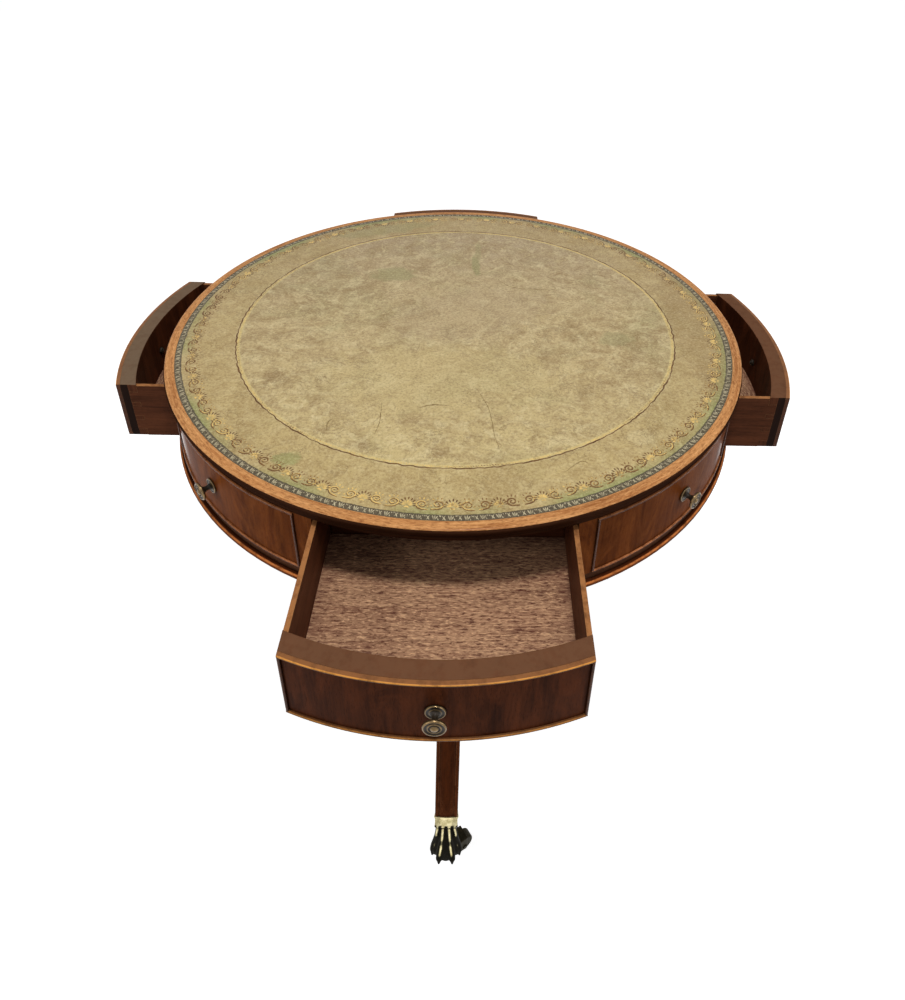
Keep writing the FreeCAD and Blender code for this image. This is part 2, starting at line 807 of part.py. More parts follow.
def make_fork():
    """Swivel pin, plate and two cheeks that hold the wheel."""
    pin = Part.makeCylinder(pin_radius, pin_height, V(0, 0, fork_top), AXIS)
    plate = Part.makeCylinder(fork_plate_radius, fork_plate_thickness, V(0, 0, fork_under), AXIS)
    bridge = box(0, castor_trail + cheek_radius, -fork_half, fork_half, fork_under, fork_top)
    parts = [pin, plate, bridge]
    near = castor_trail - cheek_radius
    far = castor_trail + cheek_radius
    for y in (-fork_half, wheel_side):
        parts.append(cross_rod(cheek_radius, y, y + cheek_thickness))
        corners = [V(near - cheek_radius, y, fork_under), V(near, y, axle_height),
                   V(far, y, axle_height), V(far, y, fork_under)]
        parts.append(loop(corners).extrude(V(0, cheek_thickness, 0)))
    reach = fork_half + cut_overrun
    return fused(parts).cut(cross_rod(axle_radius + fit_gap, -reach, reach))


def cross_rod(radius, y0, y1):
    """A round bar on the axle's line, from y0 to y1."""
    return Part.makeCylinder(radius, y1 - y0, V(castor_trail, y0, axle_height), V(0, 1, 0))


def make_wheel():
    half = wheel_width / 2
    tyre = cross_rod(wheel_radius, -half, half)
    rims = [e for e in tyre.Edges if isinstance(e.Curve, Part.Circle)]
    reach = half + cut_overrun
    return tyre.makeFillet(wheel_round, rims).cut(cross_rod(axle_radius + axle_gap, -reach, reach))


def make_axle():
    end = fork_half + axle_head
    rod = cross_rod(axle_radius, -fork_half, fork_half)
    return fused([rod, cross_rod(axle_head_radius, -end, -fork_half),
                  cross_rod(axle_head_radius, fork_half, end)])


def save_all():
    os.makedirs("parts", exist_ok=True)
    save("leather_inset", make_leather())
    save("top_board", make_top_board())
    save("top_edge_band", make_edge_band())
    save("drum_top_deck", disc(drum_radius, opening_top, -top_thickness))
    save("drum_bottom_deck", make_bottom_deck())
    save("base_moulding", make_base_moulding())
    save("frieze_panels", make_frieze_panels())
    save("sham_beads", [swing(b, 90 * k) for k in range(4) for b in sham_beads()])
    sham_knob = [swing(s, 45) for s in make_knob(drum_radius, frieze_thickness)]
    save("sham_knobs", [swing(s, 90 * k) for k in range(4) for s in sham_knob])
    save("drawer_partitions", make_partitions())
    save("drawer_stops", make_drawer_stops())
    save("pivot_block", make_pivot_block())
    save("pivot_block_screws", make_block_screws())
    save_drawers()
    save("column", make_column())
    save("column_top_plate", make_top_plate())
    save("spindle", make_spindle())
    save("spindle_nut", make_spindle_nut())
    save("base_plate", make_base_plate())
    save("base_plate_screws", make_base_screws())
    leg, cap = make_leg(), make_paw_cap()
    fork, wheel, axle = make_fork(), make_wheel(), make_axle()
    for place, angle in legs.items():
        save(f"leg_{place}", swing(leg, angle))
        save(f"paw_cap_{place}", swing(cap, angle))
        save(f"castor_fork_{place}", along_trail(fork, angle))
        save(f"castor_wheel_{place}", along_trail(wheel, angle))
        save(f"castor_axle_{place}", along_trail(axle, angle))


save_all()
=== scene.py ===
import json
from math import atan2, cos, pi, radians, sin
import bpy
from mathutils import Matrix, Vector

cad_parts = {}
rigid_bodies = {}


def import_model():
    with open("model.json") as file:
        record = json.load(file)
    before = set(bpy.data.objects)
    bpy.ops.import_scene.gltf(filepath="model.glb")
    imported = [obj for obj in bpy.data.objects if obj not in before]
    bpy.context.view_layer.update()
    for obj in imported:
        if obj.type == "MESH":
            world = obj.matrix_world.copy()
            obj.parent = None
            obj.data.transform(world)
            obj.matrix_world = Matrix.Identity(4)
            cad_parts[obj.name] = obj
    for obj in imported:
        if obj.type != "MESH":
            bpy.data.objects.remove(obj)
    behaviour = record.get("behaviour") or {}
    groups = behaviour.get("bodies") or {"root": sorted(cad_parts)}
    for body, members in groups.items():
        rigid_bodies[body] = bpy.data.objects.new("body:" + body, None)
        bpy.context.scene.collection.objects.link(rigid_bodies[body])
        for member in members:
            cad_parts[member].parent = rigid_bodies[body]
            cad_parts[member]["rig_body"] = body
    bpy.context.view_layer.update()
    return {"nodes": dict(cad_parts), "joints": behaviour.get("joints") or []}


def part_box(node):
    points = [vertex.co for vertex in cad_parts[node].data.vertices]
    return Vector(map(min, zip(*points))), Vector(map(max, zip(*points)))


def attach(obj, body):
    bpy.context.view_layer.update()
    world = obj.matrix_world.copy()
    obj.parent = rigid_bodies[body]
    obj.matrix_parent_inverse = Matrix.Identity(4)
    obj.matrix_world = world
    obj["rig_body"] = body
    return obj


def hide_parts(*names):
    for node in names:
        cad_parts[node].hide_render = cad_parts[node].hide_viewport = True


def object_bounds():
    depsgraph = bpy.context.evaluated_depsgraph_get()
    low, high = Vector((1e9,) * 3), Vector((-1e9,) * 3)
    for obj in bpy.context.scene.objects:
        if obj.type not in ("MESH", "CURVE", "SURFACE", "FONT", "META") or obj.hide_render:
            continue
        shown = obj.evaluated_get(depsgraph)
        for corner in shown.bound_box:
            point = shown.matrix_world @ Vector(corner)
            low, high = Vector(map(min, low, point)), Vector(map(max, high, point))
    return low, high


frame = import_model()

from types import SimpleNamespace

import bmesh
import bpy
import numpy as np
from mathutils import Matrix, Vector

scene = bpy.context.scene

# where the drawers and legs stand, from the joints
joints = {joint["name"]: joint for joint in frame["joints"]}
drawers = {}
legs = {}
for side in ("front", "right", "back", "left"):
    slide = joints[f"drawer_{side}_slide"]
    drawers[side] = (atan2(slide["axis"][0], -slide["axis"][1]), -slide["range_m"][0])
for side in ("front", "right", "left"):
    pin = joints[f"castor_{side}_swivel"]["pos_m"]
    legs[side] = atan2(pin[0], -pin[1])
drumRadius = 0.45
legSlope = radians(40)


def tone(red, green, blue):  # a screen colour from 0 to 255, made linear
    parts = []
    for value in (red, green, blue):
        value = value / 255
        parts.append(value / 12.92 if value < 0.04045 else ((value + 0.055) / 1.055) ** 2.4)
    return (*parts, 1.0)


def tinted(look):  # every triple of whole numbers becomes a colour, and the look is read as look.name
    return SimpleNamespace(**{
        name: tone(*value) if isinstance(value, tuple) and len(value) == 3 and isinstance(value[0], int) else value
        for name, value in look.items()})


class Sheet:  # a node tree, with short calls that fill it
    def __init__(self, tree):
        self.tree = tree

    def feed(self, socket, value):
        if isinstance(value, bpy.types.NodeSocket):
            self.tree.links.new(value, socket)
        else:
            socket.default_value = value

    def add(self, kind, inputs=None, **settings):
        made = self.tree.nodes.new(kind)
        for name, value in settings.items():
            setattr(made, name, value)
        for name, value in (inputs or {}).items():
            self.feed(made.inputs[name], value)
        return made

    def calc(self, operation, first, second=0.0, clamp=False):
        made = self.add("ShaderNodeMath", {0: first, 1: second}, operation=operation, use_clamp=clamp)
        return made.outputs[0]

    def plus(self, first, second):
        return self.calc("ADD", first, second)

    def minus(self, first, second):
        return self.calc("SUBTRACT", first, second)

    def times(self, first, second):
        return self.calc("MULTIPLY", first, second)

    def vector(self, operation, first, second=(0, 0, 0)):
        made = self.add("ShaderNodeVectorMath", {0: first, 1: second}, operation=operation)
        return made.outputs["Value" if operation in ("DOT_PRODUCT", "LENGTH") else "Vector"]

    def scaled(self, place, *factors):
        return self.vector("MULTIPLY", place, factors)

    def mix(self, factor, first, second):
        return self.add("ShaderNodeMix", {0: factor, 6: first, 7: second}, data_type="RGBA").outputs[2]

    def layers(self, colour, *coats):  # each coat: how much of it shows, and its colour
        for share, shade in coats:
            colour = self.mix(share, colour, shade)
        return colour

    def stretch(self, value, low, high, toLow=0.0, toHigh=1.0):
        limits = dict(enumerate((value, low, high, toLow, toHigh)))
        return self.add("ShaderNodeMapRange", limits, clamp=True).outputs[0]

    def noise(self, place, scale, detail=3.0, roughness=0.5, distortion=0.0):
        made = self.add("ShaderNodeTexNoise", {"Vector": place, "Scale": scale, "Detail": detail,
                                               "Roughness": roughness, "Distortion": distortion})
        return made.outputs["Fac"]

    def patches(self, place, scale, detail, roughness, *limits):
        return self.stretch(self.noise(place, scale, detail, roughness), *limits)

    def jitter(self, place, scale, detail, roughness, reach):
        return self.times(self.minus(self.noise(place, scale, detail, roughness), 0.5), reach)

    def part(self, value, axis):
        return self.add("ShaderNodeSeparateXYZ", {"Vector": value}).outputs[axis]

    def spot(self, **parts):
        return self.add("ShaderNodeCombineXYZ", parts).outputs[0]

    def objectPlace(self):
        return self.add("ShaderNodeTexCoord").outputs["Object"]

    def attribute(self, name, output):
        return self.add("ShaderNodeAttribute", attribute_name=name).outputs[output]

    def group(self, tree, inputs):
        return self.add("ShaderNodeGroup", inputs, node_tree=tree).outputs

    def bump(self, height, strength, distance, **normal):
        return self.add("ShaderNodeBump", {"Height": height, "Strength": strength, "Distance": distance,
                                           **normal}).outputs["Normal"]


def addInputs(tree, inputs):  # the value that an input starts with tells its kind
    for label, value in inputs.items():
        kind = value if isinstance(value, str) else {int: "Int", float: "Float", tuple: "Color"}[type(value)]
        socket = tree.interface.new_socket(label, in_out="INPUT", socket_type="NodeSocket" + kind)
        if kind != value:
            socket.default_value = value


def effect(name, inputs, outputs, build):
    tree = bpy.data.node_groups.new(name, "ShaderNodeTree")
    addInputs(tree, inputs)
    for label in outputs:
        kind = {"Color": "Color", "Normal": "Vector"}.get(label, "Float")
        tree.interface.new_socket(label, in_out="OUTPUT", socket_type="NodeSocket" + kind)
    sheet = Sheet(tree)
    given = sheet.add("NodeGroupInput").outputs
    leave = sheet.add("NodeGroupOutput")
    for label, socket in build(sheet, given).items():
        sheet.feed(leave.inputs[label], socket)
    return tree


def emptyTree(holder):
    holder.use_nodes = True
    holder.node_tree.nodes.clear()
    return Sheet(holder.node_tree)


def surface(name, build):
    made = bpy.data.materials.new(name)
    sheet = emptyTree(made)
    shader = sheet.add("ShaderNodeBsdfPrincipled", build(sheet))
    sheet.add("ShaderNodeOutputMaterial", {"Surface": shader.outputs[0]})
    return made


# effects that several finishes share
def buildGrain(sheet, given):
    place = given["Place"]
    sway = sheet.jitter(sheet.scaled(place, 6, 16, 16), 1, 2, 0.5, given["Sway"])
    moved = sheet.vector("ADD", place, sheet.spot(Y=sway, Z=sway))
    streaks = sheet.patches(sheet.scaled(moved, 9, 260, 260), 1, 5, 0.62, 0.34, 0.68)
    broad = sheet.patches(sheet.scaled(moved, 4, 34, 34), 1, 3, 0.5, 0.32, 0.68)
    plumes = sheet.noise(sheet.scaled(moved, 10, 30, 30), 1, 3, 0.6, 1.4)
    plumes = sheet.times(sheet.stretch(plumes, 0.42, 0.72), given["Plumes"])
    pores = sheet.patches(sheet.scaled(moved, 120, 1500, 1500), 1, 1, 0.5, 0.6, 0.72)
    pores = sheet.times(pores, given["Pores"])
    colour = sheet.layers(given["Dark"], (broad, given["Middle"]),
                          (sheet.times(streaks, given["Streaks"]), given["Light"]),
                          (plumes, given["Light"]), (pores, given["Pore Colour"]))
    return {"Color": colour, "Pores": pores, "Streaks": streaks}


def buildEdges(sheet, given):
    rounded = sheet.add("ShaderNodeBevel", {"Radius": given["Radius"]}, samples=4).outputs[0]
    plain = sheet.add("ShaderNodeNewGeometry").outputs["Normal"]
    turn = sheet.minus(1.0, sheet.vector("DOT_PRODUCT", rounded, plain))
    uneven = sheet.patches(given["Place"], 45, 3, 0.6, 0.3, 0.66)
    return {"Normal": rounded, "Edge": sheet.times(sheet.stretch(turn, 0.015, 0.2), uneven)}


def buildHollows(sheet, given):
    shut = sheet.add("ShaderNodeAmbientOcclusion", {"Distance": given["Reach"]}, samples=6).outputs["AO"]
    return {"Hollow": sheet.stretch(shut, given["Open"], given["Closed"]),
            "Blotch": sheet.patches(given["Place"], given["Scale"], 4, 0.6, 0.38, 0.64)}


grain = effect("woodGrain", {
    "Place": "Vector", "Dark": tone(40, 20, 12), "Middle": tone(70, 35, 20), "Light": tone(100, 55, 30),
    "Pore Colour": tone(25, 12, 8), "Sway": 0.004, "Streaks": 0.5, "Plumes": 0.3, "Pores": 0.5},
    ("Color", "Pores", "Streaks"), buildGrain)
edges = effect("softEdges", {"Place": "Vector", "Radius": 0.001}, ("Normal", "Edge"), buildEdges)
hollows = effect("darkHollows", {"Place": "Vector", "Reach": 0.006, "Open": 0.9, "Closed": 0.35,
                                 "Scale": 60.0}, ("Hollow", "Blotch"), buildHollows)
print("shared effects built")

# woods: the figure's dark, middle and light tones, then what differs from the plain finish
# tops are tones for upward faces: colour, the normal's heights where the tone comes in, where it goes out,
# its share and its evenness
plainLook = {"poreColour": (26, 12, 6), "sway": 0.006, "streaks": 0.45, "plumes": 0.25, "pores": 0.5,
             "roughness": 0.34, "coat": 0.02, "rimCoat": 0.6, "rimFrom": 0.89, "coatRoughness": 0.06,
             "gloss": 0.02, "relief": 0.0003, "edgeRadius": 0.0012, "wear": 0.6, "wornColour": (150, 92, 50),
             "tops": (), "topAbove": -9, "flecks": 0, "grime": 0.7, "grimeReach": 0.005, "sideShade": 0}
woodLooks = {
    "panel": {"tones": ((76, 34, 11), (112, 57, 24), (150, 84, 38)), "plumes": 0.6, "sway": 0.014, "streaks": 0.3,
        "gloss": 0.004, "coat": 0.01},
    "drawerFront": {"tones": ((50, 24, 13), (78, 41, 24), (118, 62, 34)), "plumes": 0.5, "sway": 0.014,
        "streaks": 0.25, "wear": 0.3, "gloss": 0.006, "coat": 0.01,
        "tops": (((110, 76, 54), (0.55, 0.9), (3, 2), 0.85, 0.75),)},
    "endGrain": {"tones": ((18, 9, 6), (30, 16, 10), (48, 26, 16)), "wear": 0.2},
    "rail": {"tones": ((36, 20, 13), (56, 32, 20), (80, 47, 30)), "wear": 0.3, "rimCoat": 0.2, "gloss": 0.0,
        "coat": 0.01},
    "shamBead": {"tones": ((56, 26, 12), (84, 42, 20), (120, 66, 34)), "wear": 0.7, "wornColour": (190, 130, 84),
        "roughness": 0.25, "coat": 0.1, "gloss": 0.1,
        "tops": (((196, 124, 76), (0.2, 0.8), (3, 2), 0.85, 0.3),)},
    "drawerBead": {"tones": ((44, 22, 12), (72, 38, 20), (112, 62, 30)), "wear": 0.4,
        "wornColour": (206, 146, 84), "gloss": 0.1, "topAbove": -0.045,
        "tops": (((142, 92, 52), (0.9, 0.97), (3, 2), 0.9, 0.6),
                 ((220, 150, 70), (0.15, 0.4), (0.985, 0.93), 1.0, 0.45))},
    "moulding": {"tones": ((70, 30, 12), (102, 50, 20), (150, 82, 36)), "wornColour": (196, 112, 56),
        "grime": 0.9, "grimeReach": 0.012,
        "tops": (((62, 28, 14), (0.95, 0.99), (3, 2), 0.75, 0.7),
                 ((214, 128, 68), (0.5, 0.62), (0.96, 0.9), 0.9, 0.35))},
    "pedestal": {"tones": ((46, 20, 8), (82, 39, 16), (116, 58, 25)), "wear": 0.4, "wornColour": (176, 112, 74),
        "grime": 0.9, "grimeReach": 0.008, "coat": 0.08},
    "leg": {"tones": ((46, 20, 8), (90, 44, 18), (124, 62, 26)), "wear": 0.5, "wornColour": (186, 124, 86),
        "grime": 0.8, "grimeReach": 0.006, "coat": 0.04, "sideShade": 0.9, "streaks": 0.3,
        "tops": (((168, 104, 66), (0.3, 0.42), (0.62, 0.52), 0.45, 0.2),)},
    "crossband": {"tones": ((142, 84, 42), (190, 128, 74), (228, 170, 110)), "poreColour": (112, 60, 30),
        "pores": 0.8, "streaks": 0.7, "roughness": 0.42, "coat": 0.1, "coatRoughness": 0.2, "rimCoat": 0.3,
        "wear": 0.8, "wornColour": (232, 184, 128), "flecks": 0.5, "grime": 0},
    "carcase": {"tones": ((62, 36, 24), (86, 53, 36), (112, 75, 52)), "roughness": 0.6, "coat": 0.0,
        "rimCoat": 0.0, "wear": 0.3},
    "drawerSide": {"tones": ((54, 28, 17), (80, 45, 28), (116, 68, 44)), "roughness": 0.5, "rimCoat": 0.15,
        "coatRoughness": 0.3, "wear": 0.5, "wornColour": (184, 132, 86),
        "tops": (((172, 116, 70), (0.55, 0.9), (3, 2), 0.85, 0.4),)},
    "drawerBottom": {"tones": ((106, 66, 52), (160, 116, 90), (226, 180, 138)), "poreColour": (80, 42, 38),
        "pores": 0.9, "streaks": 0.5, "plumes": 0.3, "roughness": 0.7, "coat": 0.0, "rimCoat": 0.0,
        "relief": 0.0005, "wear": 0.2, "flecks": 0.85, "grime": 0.4, "grimeReach": 0.03},
}
woodLooks["leftDrawerFront"] = {**woodLooks["drawerFront"], "tops": (((118, 98, 78), (0.55, 0.9), (3, 2), 0.9, 0.8),)}


def wood(name):
    look = tinted({**plainLook, **woodLooks[name]})
    dark, middle, light = (tone(*shade) for shade in look.tones)

    def build(sheet):
        place = sheet.attribute("grainPlace", "Vector")
        fibre = sheet.group(grain, {"Place": place, "Dark": dark, "Middle": middle, "Light": light,
                                    "Pore Colour": look.poreColour, "Sway": look.sway,
                                    "Streaks": look.streaks, "Plumes": look.plumes, "Pores": look.pores})
        coats = []
        if look.flecks:  # coarse, broken flecks along the grain
            dashes = sheet.noise(sheet.scaled(place, 120, 430, 430), 1, 4, 0.7, 0.6)
            coats += [(sheet.stretch(dashes, 0.52, 0.63, 0, look.flecks), look.poreColour),
                      (sheet.stretch(dashes, 0.46, 0.36, 0, look.flecks), light)]
        if look.grime:
            age = sheet.group(hollows, {"Place": place, "Reach": look.grimeReach, "Open": 0.95, "Closed": 0.45})
            coats.append((sheet.times(age["Hollow"], look.grime), look.poreColour))
        up = sheet.part(sheet.add("ShaderNodeNewGeometry").outputs["True Normal"], "Z")
        height = sheet.part(sheet.objectPlace(), "Z")
        high = sheet.stretch(height, look.topAbove - 0.002, look.topAbove, 0.55, 1)
        if look.sideShade:
            coats.append((sheet.stretch(up, 0.55, 0.2, 0, look.sideShade), look.poreColour))
        for shade, (low, full), (gone, fading), share, even in look.tops:
            patchy = sheet.patches(place, 70, 4, 0.7, 0.36, 0.54, even * share, share)
            reach = sheet.times(sheet.stretch(up, low, full), sheet.stretch(up, gone, fading))
            coats.append((sheet.times(reach, sheet.times(patchy, high)), tone(*shade)))
        corner = sheet.group(edges, {"Place": place, "Radius": look.edgeRadius})
        coats.append((sheet.times(corner["Edge"], look.wear), look.wornColour))
        relief = sheet.minus(sheet.times(fibre["Streaks"], 0.3), fibre["Pores"])
        leaves = {"Base Color": sheet.layers(fibre["Color"], *coats),
                  "Roughness": sheet.plus(sheet.times(fibre["Pores"], 0.2), look.roughness),
                  "Coat Roughness": look.coatRoughness, "Coat IOR": 1.4, "Specular IOR Level": look.gloss,
                  "Normal": sheet.bump(relief, 0.25, look.relief, Normal=corner["Normal"])}
        if look.rimCoat:  # the polish shows most where the surface turns away
            turned = sheet.add("ShaderNodeLayerWeight", {"Blend": 0.5}).outputs["Facing"]
            leaves["Coat Weight"] = sheet.stretch(turned, look.rimFrom, 0.97, look.coat, look.rimCoat)
        return leaves
    return surface(name + "Wood", build)


woods = {name: wood(name) for name in woodLooks}

leatherLook = {
    "ground": (187, 165, 121), "yellow": (195, 174, 122), "grey": (172, 151, 119),
    "green": (150, 141, 98), "brown": (142, 116, 76), "pale": (222, 206, 160),
    "dark": (118, 94, 58), "margin": (176, 151, 98), "mossy": (132, 142, 86),
    "band": (72, 62, 48), "bandPale": (122, 112, 88), "line": (206, 186, 128),
    "lineRadius": 0.3494, "roughness": 0.55,
    # edges of the rings: where a tone starts, and where it is full
    "bandInner": (0.431, 0.432), "bandOuter": (0.4421, 0.4413), "marginEdge": (0.352, 0.358),
    "mossEdge": (0.412, 0.43), "lineEdge": (0.0031, 0.0021),
    # soft clouding: size, detail, bend, low, high, strength, colour
    "clouds": ((5, 5, 1.0, 0.47, 0.66, 0.5, "green"), (8, 7, 1.8, 0.48, 0.62, 0.45, "brown"),
               (15, 8, 2.6, 0.5, 0.63, 0.5, "brown"), (18, 8, 2.2, 0.51, 0.63, 0.38, "pale"),
               (34, 8, 2.4, 0.5, 0.64, 0.5, "brown"), (47, 8, 1.8, 0.52, 0.66, 0.4, "pale")),
    # fine folds: size, width, spread, where they start
    "veins": ((13, 0.010, 9, 0.5), (26, 0.016, 14, 0.52), (60, 0.03, 20, 0.52)),
    # worn and stained places: x, y, half length, half width, turn in degrees, colour, strength
    "stains": ((-0.124, 0.161, 0.042, 0.028, 0, "green", 0.75), (0.026, 0.205, 0.008, 0.040, 4, "green", 0.9),
               (0.030, 0.262, 0.006, 0.050, 0, "green", 0.5), (-0.170, 0.352, 0.110, 0.028, 22, "green", 0.6),
               (-0.090, -0.029, 0.014, 0.011, 0, "brown", 0.55), (0.256, -0.044, 0.030, 0.022, 0, "green", 0.55),
               (0.253, -0.285, 0.022, 0.016, -20, "pale", 0.3), (-0.205, -0.342, 0.020, 0.014, 20, "mossy", 0.55),
               (0.392, 0.02, 0.045, 0.230, 0, "brown", 0.38),
               (0.020, 0.030, 0.150, 0.090, 20, "grey", 0.35), (-0.020, -0.160, 0.200, 0.090, 0, "yellow", 0.45)),
}


def buildLeather(sheet):
    look = tinted(leatherLook)
    place = sheet.objectPlace()
    flat = sheet.scaled(place, 1, 1, 0)
    radius = sheet.plus(sheet.vector("LENGTH", flat), sheet.jitter(place, 160, 3, 0.6, 0.003))
    away = sheet.part(place, "Y")
    coats = [(sheet.stretch(away, -0.34, -0.05), look.ground), (sheet.stretch(away, 0.0, 0.3), look.grey)]
    for size, detail, bend, low, high, strength, shade in look.clouds:
        cloud = sheet.noise(place, size, detail, 0.66, bend)
        coats.append((sheet.stretch(cloud, low, high, 0, strength), getattr(look, shade)))
    coats.append((sheet.stretch(radius, *look.marginEdge, 0, 0.45), look.margin))
    moss = sheet.patches(place, 7, 2, 0.5, 0.42, 0.58, 0, 0.75)
    coats.append((sheet.times(sheet.stretch(radius, *look.mossEdge), moss), look.mossy))
    for x, y, long, wide, turn, shade, strength in look.stains:
        local = sheet.add("ShaderNodeMapping", {
            "Vector": flat, "Location": (x, y, 0), "Rotation": (0, 0, radians(turn)), "Scale": (long, wide, 1)},
            vector_type="TEXTURE").outputs[0]
        reach = sheet.plus(sheet.vector("LENGTH", local), sheet.jitter(place, 38, 5, 0.7, 1.8))
        coats.append((sheet.stretch(reach, 1.05, 0.75, 0, strength), getattr(look, shade)))
    fold = 0.0
    for size, width, spread, low in look.veins:
        vein = sheet.calc("ABSOLUTE", sheet.minus(sheet.noise(place, size, 5, 0.62, 1.8), 0.5))
        here = sheet.patches(place, spread, 2, 0.5, low, low + 0.12)
        fold = sheet.calc("MAXIMUM", fold, sheet.times(sheet.stretch(vein, width, 0.0), here))
    speck = sheet.noise(place, 260, 4, 0.8)
    line = sheet.calc("ABSOLUTE", sheet.minus(radius, look.lineRadius))
    line = sheet.stretch(line, *look.lineEdge)
    band = sheet.times(sheet.stretch(radius, *look.bandInner), sheet.stretch(radius, *look.bandOuter))
    bandColour = sheet.mix(sheet.patches(place, 300, 3, 0.6, 0.48, 0.7, 0, 0.6), look.band, look.bandPale)
    coats += [(sheet.times(fold, 0.65), look.dark), (sheet.stretch(speck, 0.52, 0.7, 0, 0.75), look.dark),
              (sheet.stretch(speck, 0.48, 0.3, 0, 0.5), look.pale),
              (sheet.times(line, sheet.patches(place, 240, 3, 0.7, 0.4, 0.56, 0.15, 0.95)), look.line),
              (sheet.times(band, 0.95), bandColour)]
    cells = sheet.add("ShaderNodeTexVoronoi", {"Vector": place, "Scale": 620.0},
                      feature="DISTANCE_TO_EDGE").outputs["Distance"]
    height = sheet.minus(sheet.plus(sheet.stretch(cells, 0.0, 0.25, 0, 0.35), speck), sheet.times(fold, 0.9))
    return {"Base Color": sheet.layers(look.yellow, *coats), "Specular IOR Level": 0.25,
            "Roughness": sheet.patches(place, 30, 3, 0.5, 0.3, 0.7, look.roughness - 0.08, look.roughness + 0.1),
            "Normal": sheet.bump(height, 0.5, 0.0004)}


leather = surface("tooledLeather", buildLeather)

toolingLook = tinted({"gold": (228, 192, 112), "dullGold": (198, 168, 102), "brown": (120, 86, 46),
                      "blind": (92, 62, 34), "cream": (186, 174, 140), "creamDull": (138, 126, 98),
                      "crease": (120, 97, 58), "creaseSoft": (154, 133, 90)})


def giltFinish(name, low, high):  # gold leaf, rubbed through to the brown where the wear is over the limits
    def build(sheet):
        place = sheet.objectPlace()
        leaf = sheet.mix(sheet.patches(place, 90, 3, 0.5, 0.4, 0.6), toolingLook.gold, toolingLook.dullGold)
        rubbed = sheet.plus(sheet.noise(place, 5.5, 3, 0.55), sheet.jitter(place, 300, 3, 0.7, 0.9))
        rubbed = sheet.stretch(rubbed, low, high)
        return {"Base Color": sheet.mix(rubbed, leaf, toolingLook.brown),
                "Metallic": sheet.stretch(rubbed, 0, 1, 0.2, 0), "Roughness": 0.42, "Specular IOR Level": 0.3}
    return surface(name, build)


def flatFinish(name, first, second, spread, rough, gloss):  # two tones in small patches
    def build(sheet):
        share = sheet.patches(sheet.objectPlace(), *spread)
        return {"Base Color": sheet.mix(share, first, second), "Roughness": rough, "Specular IOR Level": gloss}
    return surface(name, build)


gilt = giltFinish("giltTooling", 0.5, 0.62)
rubbedGilt = giltFinish("rubbedGiltTooling", 0.42, 0.54)
crease = flatFinish("leatherCrease", toolingLook.crease, toolingLook.creaseSoft, (90, 3, 0.5, 0.42, 0.6), 0.6, 0.2)
blind = flatFinish("blindTooling", toolingLook.blind, toolingLook.brown, (70, 3, 0.5, 0.46, 0.7), 0.6, 0.25)
cream = flatFinish("creamTooling", toolingLook.cream, toolingLook.creamDull, (110, 3, 0.6, 0.46, 0.66), 0.5, 0.3)

# metals: the attribute polish is 1 where a part is rubbed bright and 0 where it has gone dark
# roughness and metallic: where the metal is clean, then where it is dark
plainMetal = {"gloss": 0.2, "blotches": 0.6, "metallic": (1, 0.12), "edgeRadius": 0.0006}
metalLooks = {
    "knobBrass": {"bright": (128, 106, 74), "dull": (88, 72, 50), "dark": (42, 34, 25), "wear": 0.5,
        "reach": 0.003, "roughness": (0.28, 0.45)},
    "pawBrass": {"bright": (240, 228, 180), "dull": (150, 134, 74), "dark": (24, 21, 13), "wear": 0.0,
        "reach": 0.006, "roughness": (0.2, 0.5), "gloss": 0.04},
    "castorBrass": {"bright": (64, 59, 44), "dull": (40, 37, 27), "dark": (24, 21, 15), "wear": 0.4,
        "reach": 0.006, "roughness": (0.5, 0.55), "gloss": 0.05, "metallic": (0, 0)},
    "iron": {"bright": (150, 146, 140), "dull": (104, 98, 92), "dark": (54, 44, 38), "wear": 0.5, "reach": 0.004,
        "roughness": (0.5, 0.6)},
}


def metal(name, polished):
    look = tinted({**plainMetal, **metalLooks[name]})

    def build(sheet):
        place = sheet.objectPlace()
        age = sheet.group(hollows, {"Place": place, "Reach": look.reach, "Scale": 150.0})
        corner = sheet.group(edges, {"Place": place, "Radius": look.edgeRadius})
        dirt = age["Hollow"]
        if polished:
            shine = sheet.plus(sheet.attribute("polish", "Fac"), sheet.jitter(place, 420, 3, 0.5, 0.35))
            dirt = sheet.calc("MAXIMUM", dirt, sheet.stretch(shine, 0.75, 0.25))
        colour = sheet.layers(look.bright, (sheet.times(age["Blotch"], look.blotches), look.dull),
                              (sheet.times(corner["Edge"], look.wear), look.bright), (dirt, look.dark))
        return {"Base Color": colour, "Specular IOR Level": look.gloss,
                "Roughness": sheet.stretch(dirt, 0, 1, *look.roughness),
                "Metallic": sheet.stretch(dirt, 0, 1, *look.metallic),
                "Normal": sheet.bump(sheet.noise(place, 240, 3), 0.15, 0.0003, Normal=corner["Normal"])}
    return surface(name, build)


metals = {name: metal(name, name in ("knobBrass", "pawBrass")) for name in metalLooks}
print("finishes built")


# what the pieces below share
def put(name, data):
    made = bpy.data.objects.new(name, data)
    scene.collection.objects.link(made)
    return made


def settle(work, name):  # the worked shape becomes a mesh
    mesh = bpy.data.meshes.new(name)
    work.to_mesh(mesh)
    work.free()
    return mesh


def baked(host):  # the mesh that an object's modifiers make
    bpy.context.view_layer.update()
    return bpy.data.meshes.new_from_object(host.evaluated_get(bpy.context.evaluated_depsgraph_get()))


def facing(angle):  # outward, and level across
    return Vector((sin(angle), -cos(angle), 0)), Vector((cos(angle), sin(angle), 0))


def markSharp(work, sharp):
    for face in work.faces:
        face.smooth = True
    for edge in work.edges:
        edge.smooth = len(edge.link_faces) == 2 and edge.calc_face_angle(pi) < radians(sharp)


